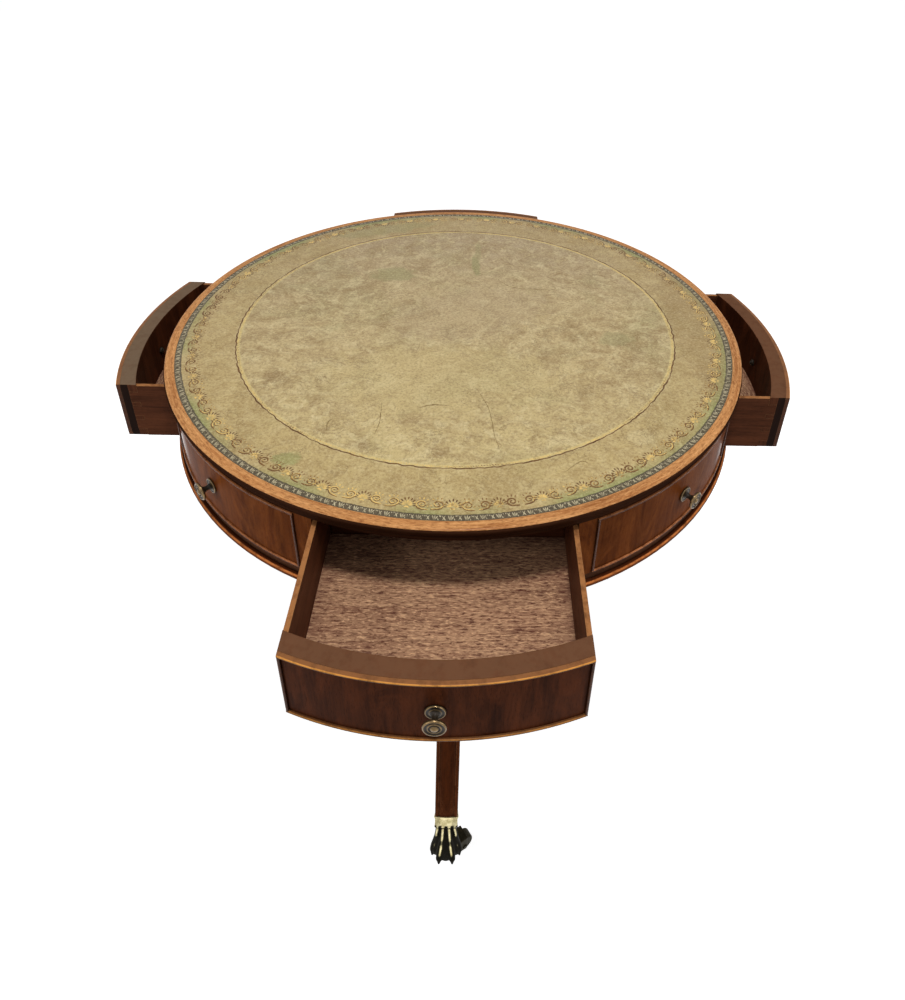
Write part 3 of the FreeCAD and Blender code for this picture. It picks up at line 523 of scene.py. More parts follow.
# where the grain lies on a piece: along it, across it and into it
def toFront(points, angle):  # turns a piece to where the front drawer or front leg is
    x, y = points[:, 0], points[:, 1]
    return np.column_stack((x * cos(angle) + y * sin(angle), y * cos(angle) - x * sin(angle), points[:, 2]))


def roundTheDrum(points):
    along = np.arctan2(points[:, 0], -points[:, 1]) * drumRadius
    return np.column_stack((along, points[:, 2], np.hypot(points[:, 0], points[:, 1])))


def standing(points):
    return frontToBack(roundTheDrum(points))


def inOrder(*axes):
    return lambda points: points[:, axes]


leftToRight, frontToBack, upright = inOrder(0, 1, 2), inOrder(1, 0, 2), inOrder(2, 0, 1)


def inDrawer(side, lay):
    angle, out = drawers[side]

    def place(points):
        shut = toFront(points, angle)
        shut[:, 1] += out
        return lay(shut)
    return place


def alongLeg(side):
    def place(points):
        turned = toFront(points, legs[side])
        along = -turned[:, 1] * cos(legSlope) - turned[:, 2] * sin(legSlope)
        across = turned[:, 2] * cos(legSlope) - turned[:, 1] * sin(legSlope)
        return np.column_stack((along, turned[:, 0], across))
    return place


grainShift = np.array([0.37, 0.61, 0.83])  # keeps the figure of one piece from going on in the next


def growGrain(mesh, place, shift):  # tells the grain where it is on the piece
    points = np.empty(len(mesh.vertices) * 3)
    mesh.vertices.foreach_get("co", points)
    grown = place(points.reshape(-1, 3)) + grainShift * shift
    layer = mesh.attributes.new("grainPlace", "FLOAT_VECTOR", "POINT")
    layer.data.foreach_set("vector", grown.astype(np.float32).ravel())


# the frame's pieces, smoothed and finished
dressing = {"seam": 0.000004, "weld": 0.000002, "sharp": 34, "sideFace": 0.97}
tailReach = 0.4058  # how far out the dovetails' tips are when a drawer is shut
dressedCount = 0


def finishPiece(piece, body):
    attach(piece, body)


def stand(name, mesh, finishes):  # makes a mesh the piece that stands for a node
    for finish in finishes:
        mesh.materials.append(finish)
    piece = put(name + "Finished", mesh)
    weighted = piece.modifiers.new("flatFaces", "WEIGHTED_NORMAL")
    weighted.keep_sharp = True
    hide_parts(name)
    finishPiece(piece, frame["nodes"][name]["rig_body"])


def dress(name, finish, place=leftToRight, ends=None):
    global dressedCount
    work = bmesh.new()
    work.from_mesh(frame["nodes"][name].data)
    bmesh.ops.remove_doubles(work, verts=work.verts[:], dist=dressing["seam"])
    markSharp(work, dressing["sharp"])
    finishes = [finish]
    if ends:  # the sides of a drawer's front show end grain, and the dovetails the drawer side's wood
        angle, line = ends
        out, across = facing(angle)
        bmesh.ops.bisect_plane(work, geom=work.verts[:] + work.edges[:] + work.faces[:], plane_co=out * line,
                               plane_no=out)
        for face in work.faces:
            if abs(face.normal.dot(across)) > dressing["sideFace"]:
                face.material_index = 1 if face.calc_center_median().dot(out) > line else 2
        finishes += [woods["endGrain"], woods["drawerSide"]]
    mesh = settle(work, name + "Finished")
    growGrain(mesh, place, dressedCount)
    dressedCount += 1
    stand(name, mesh, finishes)


dress("leather_inset", leather)
dress("frieze_panels", woods["panel"], standing)
dress("sham_beads", woods["shamBead"], roundTheDrum)
dress("base_moulding", woods["moulding"], roundTheDrum)
dress("drum_top_deck", woods["rail"], roundTheDrum)
dress("column", woods["pedestal"], upright)
dress("column_top_plate", woods["pedestal"])
for name in ("top_board", "drum_bottom_deck", "drawer_partitions", "drawer_stops", "pivot_block"):
    dress(name, woods["carcase"])
for name in ("spindle", "spindle_nut", "base_plate", "base_plate_screws", "pivot_block_screws"):
    dress(name, metals["iron"])
for side, (angle, out) in drawers.items():
    dress(f"drawer_{side}_face", woods["leftDrawerFront" if side == "left" else "drawerFront"],
          inDrawer(side, standing), (angle, out + tailReach))
    for part, finish, lay in (("bead", "drawerBead", roundTheDrum), ("sides", "drawerSide", frontToBack),
                              ("back", "drawerSide", leftToRight), ("bottom", "drawerBottom", leftToRight)):
        dress(f"drawer_{side}_{part}", woods[finish], inDrawer(side, lay))
for side in legs:
    dress(f"leg_{side}", woods["leg"], alongLeg(side))
    dress(f"castor_wheel_{side}", metals["castorBrass"])
    dress(f"castor_axle_{side}", metals["castorBrass"])
print("frame pieces dressed")


# turned pieces: rows of radius, height and polish in millimetres
def lathe(work, rows, steps, finishOf=lambda height: 0):
    polish = work.verts.layers.float.get("polish") or work.verts.layers.float.new("polish")
    rings = []
    for radius, height, shine in rows:
        ring = []
        for k in range(steps if radius > 0 else 1):
            turn = 2 * pi * k / steps
            spot = work.verts.new((radius * cos(turn) / 1000, radius * sin(turn) / 1000, height / 1000))
            spot[polish] = shine
            ring.append(spot)
        rings.append((ring, height))
    for (low, lowHeight), (high, highHeight) in zip(rings, rings[1:]):
        for k in range(steps):
            corners = [low[k % len(low)], low[(k + 1) % len(low)], high[(k + 1) % len(high)], high[k % len(high)]]
            face = work.faces.new(list(dict.fromkeys(corners)))
            face.material_index = finishOf((lowHeight + highHeight) / 2)


def closeUp(work):  # joins the seams and turns every face outward
    bmesh.ops.remove_doubles(work, verts=work.verts[:], dist=dressing["weld"])
    bmesh.ops.recalc_face_normals(work, faces=work.faces[:])


def arcThrough(start, middle, end, count):
    (ax, ay), (bx, by), (cx, cy) = start, middle, end
    d = 2 * (ax * (by - cy) + bx * (cy - ay) + cx * (ay - by))
    a, b, c = ax * ax + ay * ay, bx * bx + by * by, cx * cx + cy * cy
    x = (a * (by - cy) + b * (cy - ay) + c * (ay - by)) / d
    y = (a * (cx - bx) + b * (ax - cx) + c * (bx - ax)) / d
    first, last = atan2(ay - y, ax - x), atan2(cy - y, cx - x)
    reach = np.hypot(ax - x, ay - y)
    return [(x + reach * cos(t), y + reach * sin(t)) for t in np.linspace(first, last, count)]


edgeBand = {"inner": 441.5, "flat": 445.5, "arris": (452.5, 0.0), "upperBow": (455.68, -1.61),
            "nose": (457.0, -5.5), "lowerBow": (456.33, -8.25), "underEdge": (452.0, -11.0), "under": -14.0,
            "steps": 432, "darkBelow": -1.5, "sharp": 40, "grainShift": 70}


def makeEdgeBand():
    band = edgeBand
    upper = arcThrough(band["arris"], band["upperBow"], band["nose"], 8)
    lower = arcThrough(band["nose"], band["lowerBow"], band["underEdge"], 6)
    line = [(band["inner"], band["under"]), (band["inner"], 0), (band["flat"], 0)] + upper + lower[1:]
    line += [(band["underEdge"][0], band["under"]), (band["inner"], band["under"])]
    work = bmesh.new()
    lathe(work, [(*point, 0) for point in line], band["steps"], lambda height: int(height < band["darkBelow"]))
    closeUp(work)
    markSharp(work, band["sharp"])
    mesh = settle(work, "edgeBand")
    growGrain(mesh, roundTheDrum, band["grainShift"])
    stand("top_edge_band", mesh, [woods["crossband"], woods["rail"]])


knob = {"steps": 56, "boltEnd": 6.0, "boltRadius": 2.5, "boltChamfer": 0.4, "nutAcross": 5.5, "nutDepth": 4.0,
        "nutGap": 0.1, "nutChamfer": (0.6, 0.5), "sharp": 50, "sunk": 0.5, "drawerFront": 25.5, "shamFront": 18.0,
        "outline": [
    (10.9, 0.0, 0.2), (10.9, 1.0, 0.6), (10.5, 1.9, 0.9), (9.9, 2.0, 0.7), (9.3, 1.4, 0.0), (7.6, 1.1, 0.0),
    (6.9, 1.6, 0.3), (6.2, 2.2, 0.6), (5.2, 2.5, 0.1), (4.2, 3.0, 0.0), (3.4, 5.5, 0.1), (3.2, 8.5, 0.25),
    (4.4, 11.5, 0.2), (6.9, 14.2, 0.1), (11.0, 14.6, 0.1), (12.0, 15.0, 0.4), (12.4, 16.2, 0.8), (12.2, 17.4, 0.9),
    (11.6, 18.2, 0.9), (10.9, 18.3, 0.8), (10.3, 17.7, 0.2), (9.4, 17.1, 0.0), (8.1, 17.1, 0.0), (7.5, 17.7, 0.6),
    (7.0, 18.2, 0.8), (6.4, 18.1, 0.5), (5.9, 17.3, 0.0), (4.9, 17.2, 0.0), (4.3, 18.1, 0.5), (3.3, 19.1, 0.8),
    (1.7, 19.8, 0.9), (0.0, 20.0, 0.9)]}


def addKnob(work, angle, radius, height, thickness):
    held = bmesh.new()
    tip, shaft, chamfer = -thickness - knob["boltEnd"], knob["boltRadius"], knob["boltChamfer"]
    bolt = [(0, tip, 0), (shaft - chamfer, tip, 0), (shaft, tip + chamfer, 0), (shaft, 0, 0)]
    lathe(held, bolt + knob["outline"], knob["steps"])
    wide, depth, (cut, rise) = (knob[label] for label in ("nutAcross", "nutDepth", "nutChamfer"))
    near = -thickness - knob["nutGap"]
    far = near - depth
    lathe(held, [(shaft, near, 0), (wide, near, 0), (wide, far + rise, 0.2), (wide - cut, far, 0.2),
                 (shaft, far, 0), (shaft, near, 0)], 6)
    closeUp(held)
    turned = Matrix.Rotation(angle, 4, "Z") @ Matrix.Translation((0, -radius, height))
    held.transform(turned @ Matrix.Rotation(pi / 2, 4, "X"))
    single = settle(held, "knob")
    work.from_mesh(single)
    bpy.data.meshes.remove(single)


def finishKnobs(name, spots):
    work = bmesh.new()
    work.verts.layers.float.new("polish")
    for spot in spots:
        addKnob(work, *spot)
    markSharp(work, knob["sharp"])
    stand(name, settle(work, name + "Finished"), [metals["knobBrass"]])


makeEdgeBand()
low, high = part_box("drawer_front_knob")
knobHeight = (low[2] + high[2]) / 2
for side, (angle, out) in drawers.items():
    faceRadius = drumRadius - knob["sunk"] / 1000 + out
    finishKnobs(f"drawer_{side}_knob", [(angle, faceRadius, knobHeight, knob["drawerFront"])])
finishKnobs("sham_knobs", [(radians(turn), drumRadius, knobHeight, knob["shamFront"])
                           for turn in (45, 135, 225, 315)])
print("edge band and knobs turned")


# paw caps: toes and claws over a dark pad, under a bright collar, for the leg that reaches out along -Y
paw = {
    "floor": -762.0, "sole": 40.9, "middle": (0.0, -436.95, 107.24), "along": (0.0, -0.6377, -0.7702),
    "face": (0.0, -0.7702, 0.6377), "half": 18.45, "foot": 15.61, "meanHalf": 17, "depth": 17.64, "crown": 2.25,
    "voxel": 0.0011, "toeStep": 0.9, "clawStep": 0.6, "padStep": 1.6, "clawRoot": 0.85, "flatness": 0.95, "sharp": 60,
    # bright places: the ridges' lean in degrees and the width of their shine, then the collar's lower edge
    "lean": (40, 22), "ridgeShine": 1.9, "lowerEdge": 14, "overToes": (5, 13.8), "edgeShine": 2.4,
    # distance down the leg, and how far the collar stands out there
    "collar": ((-0.2, -1.5), (-0.2, 0.2), (0.3, 1.0), (1.2, 1.4), (2.2, 1.0), (2.7, 0.35), (3.6, 0.1), (8.0, 0.0),
        (12.0, 0.1), (14.2, 0.35), (15.4, 0.5), (16.2, 0.1), (16.6, -2.0)),
    # each toe: across, out and up in the leg's frame, and thickness
    "innerToe": ((5.0, -459.6, 101.0, 3.3), (6.0, -463.0, 84.0, 3.4), (7.6, -467.5, 67.0, 5.7),
        (9.4, -473.0, 57.0, 5.7), (10.4, -478.0, 49.0, 5.6)),
    "outerToe": ((13.8, -457.6, 99.0, 3.0), (15.6, -458.5, 82.0, 3.2), (17.2, -459.5, 66.0, 4.9),
        (19.6, -462.0, 56.0, 5.4), (21.6, -465.0, 48.5, 4.8)),
    # how far the claw's tip is from the toe's end across, out and up, and its thickness
    "claw": (0.3, -5.2, -5.6, 1.7),
    # how bright the toe's ridge is: shares of its length, then the polish there
    "innerShine": ((0, 0.36, 0.46, 0.54, 0.62, 0.82, 0.92), (1, 1, 0.4, 0.4, 1, 0.9, 0.1)),
    "outerShine": ((0, 0.3, 0.4, 0.62, 0.75, 1), (1, 1, 0.25, 0.2, 0.45, 0.1)),
    # across, out, up, thickness and widening
    "pad": ((0.0, -444.5, 98.0, 13.5, 1.12), (0.0, -449.0, 89.0, 13.0, 1.1), (0.0, -454.0, 76.0, 12.5, 1.12),
        (0.0, -458.0, 62.0, 13.0, 1.25), (0.0, -460.0, 53.0, 12.5, 1.45)),
    "web": ((0.0, -460.0, 84.0, 6.0, 1.0), (0.0, -468.0, 64.0, 8.0, 1.2), (0.0, -473.0, 52.0, 7.0, 1.3),
        (0.0, -475.6, 46.5, 5.6, 1.5)),
    "sideWeb": ((10.5, -458.0, 78.0, 5.0, 1.0), (12.5, -463.0, 62.0, 6.2, 1.1), (14.5, -466.5, 52.0, 6.2, 1.2),
        (15.5, -467.5, 46.5, 5.4, 1.2)),
}


def skinOver(mesh, voxel, rounds):  # one closed, softened skin over everything in the mesh
    host = put("skinned", mesh)
    skin = host.modifiers.new("skin", "REMESH")
    skin.mode = "VOXEL"
    skin.voxel_size = voxel
    soft = host.modifiers.new("soften", "SMOOTH")
    soft.factor, soft.iterations = 0.5, rounds
    skinned = baked(host)
    bpy.data.objects.remove(host)
    return skinned


def alongPath(points, spacing):  # evenly spaced spots on a smooth line through the points
    points = np.array(points, float)
    ends = np.vstack((2 * points[0] - points[1], points, 2 * points[-1] - points[-2]))
    spots = []
    for t in np.linspace(0, len(points) - 1, 200):
        k = min(int(t), len(points) - 2)
        u = t - k
        a, b, c, d = ends[k:k + 4]
        spots.append(0.5 * (2 * b + (c - a) * u + (2 * a - 5 * b + 4 * c - d) * u * u
                            + (3 * b - a - 3 * c + d) * u ** 3))
    spots = np.array(spots)
    gone = np.concatenate(([0], np.cumsum(np.linalg.norm(np.diff(spots[:, :3], axis=0), axis=1))))
    wanted = np.arange(0, gone[-1], spacing)
    return np.column_stack([np.interp(wanted, gone, spots[:, k]) for k in range(spots.shape[1])])


def makeToes():
    toes = []
    across, out, up, thin = paw["claw"]
    for label in ("inner", "outer"):
        for hand in (-1, 1):
            line = np.array(paw[label + "Toe"]) * (hand, 1, 1, 1)
            tip = line[-1] + (across * hand, out, up, 0)
            tip[3] = thin
            root = line[-1] * (1, 1, 1, paw["clawRoot"])
            toes.append((label, alongPath(line, paw["toeStep"]),
                         alongPath((root, (root + tip) / 2, tip), paw["clawStep"])))
    return toes


def addBead(work, detail, x, y, z, radius, wide=None):
    matrix = Matrix.Translation((x / 1000, y / 1000, z / 1000))
    if wide:
        matrix = matrix @ Matrix.Diagonal((wide, paw["flatness"], 1.0, 1.0))
    bmesh.ops.create_icosphere(work, subdivisions=detail, radius=radius / 1000, matrix=matrix)


def makePawSkin(toes):
    work = bmesh.new()
    for _, spots, claw in toes:
        for spot in np.vstack((spots, claw)):
            addBead(work, 2, *spot)
    sideWebs = [np.array(paw["sideWeb"]) * (hand, 1, 1, 1, 1) for hand in (-1, 1)]
    for line in (paw["pad"], paw["web"], *sideWebs):
        for spot in alongPath(line, paw["padStep"]):
            addBead(work, 3, *spot)
    return skinOver(settle(work, "pawToes"), paw["voxel"], 3)


def polishToes(work, polish, toes):  # the toes are rubbed bright along their ridges
    ridges, weights = [], []
    for label, spots, _ in toes:
        for share, (x, y, z, radius) in zip(np.linspace(0, 1, len(spots)), spots):
            lean = radians(np.interp(share, (0, 1), paw["lean"]))
            ridges.append((x, y - radius * cos(lean), z + radius * sin(lean)))
            weights.append(np.interp(share, *paw[label + "Shine"]))
    ridges, weights = np.array(ridges), np.array(weights)
    for vert in work.verts:
        spot = np.array(vert.co) * 1000
        vert.co.z = max(vert.co.z, paw["sole"] / 1000)
        gap = np.linalg.norm(ridges - spot, axis=1)
        vert[polish] = float(np.max(np.exp(-(gap / paw["ridgeShine"]) ** 2) * weights))


def addCollar(work, polish):
    middle, along, face = (Vector(paw[label]) for label in ("middle", "along", "face"))
    top = paw["depth"] - paw["crown"]
    outline = [(-paw["foot"], -paw["depth"]), (paw["foot"], -paw["depth"])]
    outline += arcThrough((paw["half"], top), (0, paw["depth"]), (-paw["half"], top), 9)
    for cut in range(2):  # rounds the corners
        ahead = outline[1:] + outline[:1]
        outline = [(a[0] + (b[0] - a[0]) * share, a[1] + (b[1] - a[1]) * share)
                   for a, b in zip(outline, ahead) for share in (0.15, 0.85)]
    rings = []
    for distance, proud in paw["collar"]:
        grow = 1 + proud / paw["meanHalf"]
        ring = [work.verts.new((middle + along * distance + Vector((x, 0, 0)) * grow + face * up * grow) / 1000)
                for x, up in outline]
        for vert in ring:
            x = abs(vert.co.x) * 1000
            shine = np.interp(x, (4, 11), (1.0, 0.62))
            if distance > paw["lowerEdge"]:  # here only what is over the toes is bright
                shine *= max(np.exp(-((x - toe) / paw["edgeShine"]) ** 2) for toe in paw["overToes"])
            vert[polish] = float(shine)
        rings.append(ring)
    for low, high in zip(rings, rings[1:]):
        for k in range(len(low)):
            n = (k + 1) % len(low)
            work.faces.new((low[k], low[n], high[n], high[k]))
    work.faces.new(rings[0])
    work.faces.new(rings[-1])


def makePaw():
    toes = makeToes()
    work = bmesh.new()
    work.from_mesh(makePawSkin(toes))
    polish = work.verts.layers.float.new("polish")
    polishToes(work, polish, toes)
    addCollar(work, polish)
    bmesh.ops.recalc_face_normals(work, faces=work.faces[:])
    markSharp(work, paw["sharp"])
    bmesh.ops.translate(work, verts=work.verts[:], vec=(0, 0, paw["floor"] / 1000))
    return work


forkLook = {"voxel": 0.0008, "softening": 14}
pawShape = makePaw()
for side, angle in legs.items():
    mesh = bpy.data.meshes.new(f"paw_cap_{side}Finished")
    pawShape.to_mesh(mesh)
    mesh.transform(Matrix.Rotation(angle, 4, "Z"))
    stand(f"paw_cap_{side}", mesh, [metals["pawBrass"]])
    fork = skinOver(frame["nodes"][f"castor_fork_{side}"].data.copy(), forkLook["voxel"], forkLook["softening"])
    fork.materials.clear()
    fork.polygons.foreach_set("use_smooth", [True] * len(fork.polygons))
    stand(f"castor_fork_{side}", fork, [metals["castorBrass"]])
pawShape.free()
print("paws and castors made")


# the leather's tooling: small raised motifs, set round in rings
class Motif:  # x points out from the table's middle, y runs along the ring, in millimetres, or in the unit given
    def __init__(self, unit=0.001):
        self.unit = unit
        self.points = []
        self.faces = []

    def stroke(self, line, widths, rise=0.12, closed=False):
        first = len(self.points)
        line = np.array(line, float)
        ahead = np.roll(line, -1, 0) - np.roll(line, 1, 0)
        if not closed:
            ahead[0], ahead[-1] = line[1] - line[0], line[-1] - line[-2]
        ahead /= np.linalg.norm(ahead, axis=1)[:, None]
        for (x, y), (dx, dy), width in zip(line, ahead, np.broadcast_to(widths, len(line))):
            self.points += [(x - dy * width, y + dx * width, 0), (x, y, rise), (x + dy * width, y - dx * width, 0)]
        count = len(line)
        for k in range(count if closed else count - 1):
            a, b = first + 3 * k, first + 3 * ((k + 1) % count)
            self.faces += [(a, a + 1, b + 1, b), (a + 1, a + 2, b + 2, b + 1)]

    def drop(self, start, end, width, rise=0.15):
        first = len(self.points)
        start, end = np.array(start, float), np.array(end, float)
        way = end - start
        side = np.array([-way[1], way[0]]) / np.linalg.norm(way) * width
        for share, out in ((0, 0), (0.55, -1), (0.85, -0.75), (1, 0), (0.85, 0.75), (0.55, 1)):
            self.points.append((*(start + way * share + side * out), 0))
        self.points.append((*(start + way * 0.65), rise))
        self.faces += [(first + k, first + (k + 1) % 6, first + 6) for k in range(6)]

    def build(self, name):
        mesh = bpy.data.meshes.new(name)
        mesh.from_pydata((np.array(self.points) * self.unit).tolist(), [], self.faces)
        return put(name, mesh)


tooling = {
    "lift": 0.00003, "heart": (5.2, 0.0),
    # rings: repeats, radius, turn, sway, unevenness and seed
    "fanRing": (48, 0.415, radians(1.2), 0.06, 0.05, 1), "leafRing": (145, 0.4366, 0.0, 0.1, 0.1, 4),
    "laceRing": (620, 0.3496, 0.0, 0.5, 0.25, 5),
    # petals and rays: half their count, degrees between them, where they start and end and what that loses
    # from one to the next, width
    "petals": (3, 24, (1.6, 0.0), (9.6, 0.7), 1.15), "rays": (4, 21, (8.6, 0.6), (14.6, 0.8), 0.95),
    # the scroll: its tail, its heart, its degrees and radius from first to last, half widths at some of its points
    "scrollTail": ((8.0, 25.6), (8.1, 21.4)), "scrollHeart": (0.6, 17.2), "scrollTurns": ((90, 650), (7.3, 1.1)),
    "scrollWidths": ((0, 1, 2, 21), (0.4, 0.8, 1.05, 0.6)),
    # drops: start, end and width
    "calyx": (((8.6, -3.4), (6.0, 0.6), 1.2), ((8.6, 3.4), (6.0, -0.6), 1.2)),
    "buds": (((-6.0, 14.4), (-10.2, 12.6), 1.0), ((-6.4, 17.8), (-10.8, 18.4), 1.0),
             ((-5.0, 21.4), (-8.6, 24.0), 1.0), ((5.0, 23.8), (1.2, 25.8), 1.0), ((2.2, 9.4), (-2.6, 8.2), 1.0)),
    # a cross and a three-lobed leaf
    "leaf": (((-3.8, -7.6), (3.6, -3.4), 0.75), ((3.8, -7.2), (-3.4, -3.8), 0.6),
             ((-1.0, -8.6), (-3.9, -9.0), 0.55), ((3.8, 1.4), (-3.6, -0.6), 0.8),
             ((3.6, 2.0), (-3.9, 2.6), 0.65), ((3.4, 2.6), (-2.6, 5.6), 0.8),
             ((0.6, 5.4), (3.9, 6.6), 0.6), ((-3.8, 7.2), (-1.4, 8.2), 0.55)),
    "lace": (((-1.9, -1.3), (1.7, 1.0), 0.7), ((1.9, -1.2), (0.2, -1.9), 0.5))}


def dropsOf(name, drops, mirror=1, motif=None):
    motif = motif or Motif()
    for start, end, width in drops:
        motif.drop((start[0], mirror * start[1]), (end[0], mirror * end[1]), width)
    return motif.build(name)


def fan(name, half, step, near, far, width, leaves=()):
    motif = Motif()
    heart = np.array(tooling["heart"])
    for k in range(-half, half + 1):
        away = np.array([-cos(radians(k * step)), sin(radians(k * step))])
        motif.drop(heart + away * (near[0] - abs(k) * near[1]), heart + away * (far[0] - abs(k) * far[1]), width)
    return dropsOf(name, leaves, 1, motif)


def scroll(name, mirror, inset):
    x, y = tooling["scrollHeart"]
    line = list(tooling["scrollTail"])
    for turn, radius in zip(*(np.linspace(*ends, 20) for ends in tooling["scrollTurns"])):
        line.append((x + radius * sin(radians(turn)) * 0.95, y + radius * cos(radians(turn))))
    line = (np.array(line) + (inset, 0)) * (1, mirror)
    motif = Motif()
    motif.stroke(line, np.interp(range(len(line)), *tooling["scrollWidths"]))
    return dropsOf(name, tooling["buds"], mirror, motif)


def ringTree():
    tree = bpy.data.node_groups.new("toolingRing", "GeometryNodeTree")
    addInputs(tree, {"Motif": "Object", "Repeats": 54, "Radius": 0.412, "Height": 0.0, "Turn": 0.0, "Uneven": 0.05,
                     "Sway": 0.0, "Seed": 3, "Finish": "Material"})
    tree.interface.new_socket("Geometry", in_out="OUTPUT", socket_type="NodeSocketGeometry")
    sheet = Sheet(tree)
    given = sheet.add("NodeGroupInput").outputs
    circle = sheet.add("GeometryNodeMeshCircle", {"Vertices": given["Repeats"], "Radius": given["Radius"]})
    step = sheet.calc("DIVIDE", 2 * pi, given["Repeats"])
    around = sheet.times(step, sheet.add("GeometryNodeInputIndex").outputs[0])
    chances = []
    for low, high, seed in ((sheet.minus(1.0, given["Uneven"]), sheet.plus(1.0, given["Uneven"]), 0),
                            (sheet.times(given["Sway"], -1.0), given["Sway"], 50)):
        seed = sheet.plus(given["Seed"], seed)
        chances.append(sheet.add("FunctionNodeRandomValue", {2: low, 3: high, "Seed": seed},
                                 data_type="FLOAT").outputs[1])
    motif = sheet.add("GeometryNodeObjectInfo", {"Object": given["Motif"]}).outputs["Geometry"]
    placed = sheet.add("GeometryNodeInstanceOnPoints", {
        "Points": circle.outputs[0], "Instance": motif, "Rotation": sheet.spot(Z=sheet.plus(around, chances[1])),
        "Scale": chances[0]})
    moved = sheet.add("GeometryNodeTransform", {
        "Geometry": placed.outputs[0], "Translation": sheet.spot(Z=given["Height"]),
        "Rotation": sheet.spot(Z=given["Turn"])})
    whole = sheet.add("GeometryNodeRealizeInstances", {"Geometry": moved.outputs[0]})
    painted = sheet.add("GeometryNodeSetMaterial", {"Geometry": whole.outputs[0], "Material": given["Finish"]})
    sheet.add("NodeGroupOutput", {"Geometry": painted.outputs[0]})
    return tree


ringMaker = ringTree()


def toolingRing(name, motif, finish, ring="fanRing", lifts=1):
    host = put(name, bpy.data.meshes.new(name))
    maker = host.modifiers.new("ring", "NODES")
    maker.node_group = ringMaker
    values = dict(zip(("Repeats", "Radius", "Turn", "Sway", "Uneven", "Seed"), tooling[ring]))
    values.update({"Motif": motif, "Finish": finish, "Height": lifts * tooling["lift"]})
    for socket in ringMaker.interface.items_tree:
        if socket.in_out == "INPUT" and socket.name in values:
            maker[socket.identifier] = values[socket.name]
    mesh = baked(host)
    host.modifiers.clear()
    host.data = mesh
    bpy.data.objects.remove(motif)
    finishPiece(host, "drum")


toolingRing("giltFans", fan("fanGiltMotif", *tooling["petals"], tooling["calyx"]), gilt)
toolingRing("blindRays", fan("fanRaysMotif", *tooling["rays"]), blind)
for label, mirror in (("Right", 1), ("Left", -1)):
    toolingRing("blindScrolls" + label, scroll("scrollShadow" + label, mirror, 0.9), blind)
    toolingRing("giltScrolls" + label, scroll("scrollShine" + label, mirror, 0.0), rubbedGilt, lifts=2)
toolingRing("bandLeaves", dropsOf("bandLeafMotif", tooling["leaf"]), cream, "leafRing")
toolingRing("giltLace", dropsOf("laceMotif", tooling["lace"]), gilt, "laceRing")


def layDown(motif, name, finish):  # a motif in metres, where it is on the leather
    made = motif.build(name)
    made.data.materials.append(finish)
    made.data.transform(Matrix.Translation((0, 0, tooling["lift"])))
    finishPiece(made, "drum")


# the line inside the border, in metres
wavy = {"seed": 11, "points": 900, "radius": 0.3532, "unrest": 0.0009, "waves": (0.0005, 130), "width": 0.0009,
        "swelling": 0.0004, "rise": 0.0001}


def wavyLine():
    chance = np.random.default_rng(wavy["seed"])
    count = wavy["points"]
    angles = np.arange(count) * 2 * pi / count
    sway = np.convolve(np.tile(chance.normal(0, 1, count), 3), np.ones(5) / 5, "same")[count:2 * count]
    depth, waves = wavy["waves"]
    radius = wavy["radius"] + wavy["unrest"] * sway + depth * np.sin(angles * waves)
    widths = wavy["width"] + wavy["swelling"] * np.sin(angles * 37 + 1) * np.sin(angles * 11)
    motif = Motif(1)
    motif.stroke(np.column_stack((radius * np.cos(angles), radius * np.sin(angles))), widths, wavy["rise"], True)
    layDown(motif, "innerRingLine", blind)


# the creases in metres: some fall by chance, and each measured one has its half width, then its points
creases = {"seed": 7, "count": 34, "reach": 0.33, "bend": 0.2, "steps": (5, 22), "halfWidth": (0.0001, 0.0004),
           "unrest": 0.0002, "step": 0.003, "rise": 0.00005, "measured": (
    (0.0017, (-0.0494, -0.2337), (-0.0294, -0.2247), (-0.0023, -0.2255)),
    (0.0011, (0.0611, 0.1594), (0.0942, 0.1216), (0.1604, 0.1151), (0.2014, 0.1265)),
    (0.0008, (-0.1009, -0.2921), (-0.0974, -0.2611), (-0.0999, -0.2203)),
    (0.0009, (-0.1655, -0.2865), (-0.1666, -0.2672), (-0.1588, -0.2551)),
    (0.0007, (0.0323, -0.181), (0.0512, -0.2322), (0.0587, -0.2874), (0.0681, -0.3238)),
    (0.0009, (0.1469, -0.3562), (0.1701, -0.3351), (0.1813, -0.3417))),
    "mark": ((0.0640, -0.2758), (0.0672, -0.2750), 0.001)}


def makeCreases():
    chance = np.random.default_rng(creases["seed"])
    motif = Motif(1)
    lines = [(alongPath(line, creases["step"]), width) for width, *line in creases["measured"]]
    for k in range(creases["count"]):
        start = chance.uniform(-creases["reach"], creases["reach"], 2)
        heading = chance.uniform(0, 2 * pi)
        bend = chance.uniform(-creases["bend"], creases["bend"])
        line = [start]
        for step in range(int(chance.integers(*creases["steps"]))):
            heading += bend * chance.uniform(-0.3, 1)
            line.append(line[-1] + np.array([cos(heading), sin(heading)]) * creases["step"])
        if np.linalg.norm(start) < creases["reach"]:
            lines.append((np.array(line), chance.uniform(*creases["halfWidth"])))
    for line, width in lines:
        if len(line) > 2:
            widths = np.sin(np.linspace(0.2, pi - 0.2, len(line))) * width * chance.uniform(0.5, 1.2, len(line))
            motif.stroke(line + chance.normal(0, creases["unrest"], line.shape), widths, creases["rise"])
    motif.drop(*creases["mark"], creases["rise"])
    layDown(motif, "leatherCreases", crease)


wavyLine()
makeCreases()
print("leather tooled")


# the studio
def shaderRays(sheet):  # what the camera sees, in gloss and through glass too
    path = sheet.add("ShaderNodeLightPath").outputs
    seen = sheet.plus(path["Is Camera Ray"], path["Is Glossy Ray"])
    return sheet.calc("ADD", seen, path["Is Transmission Ray"], clamp=True)


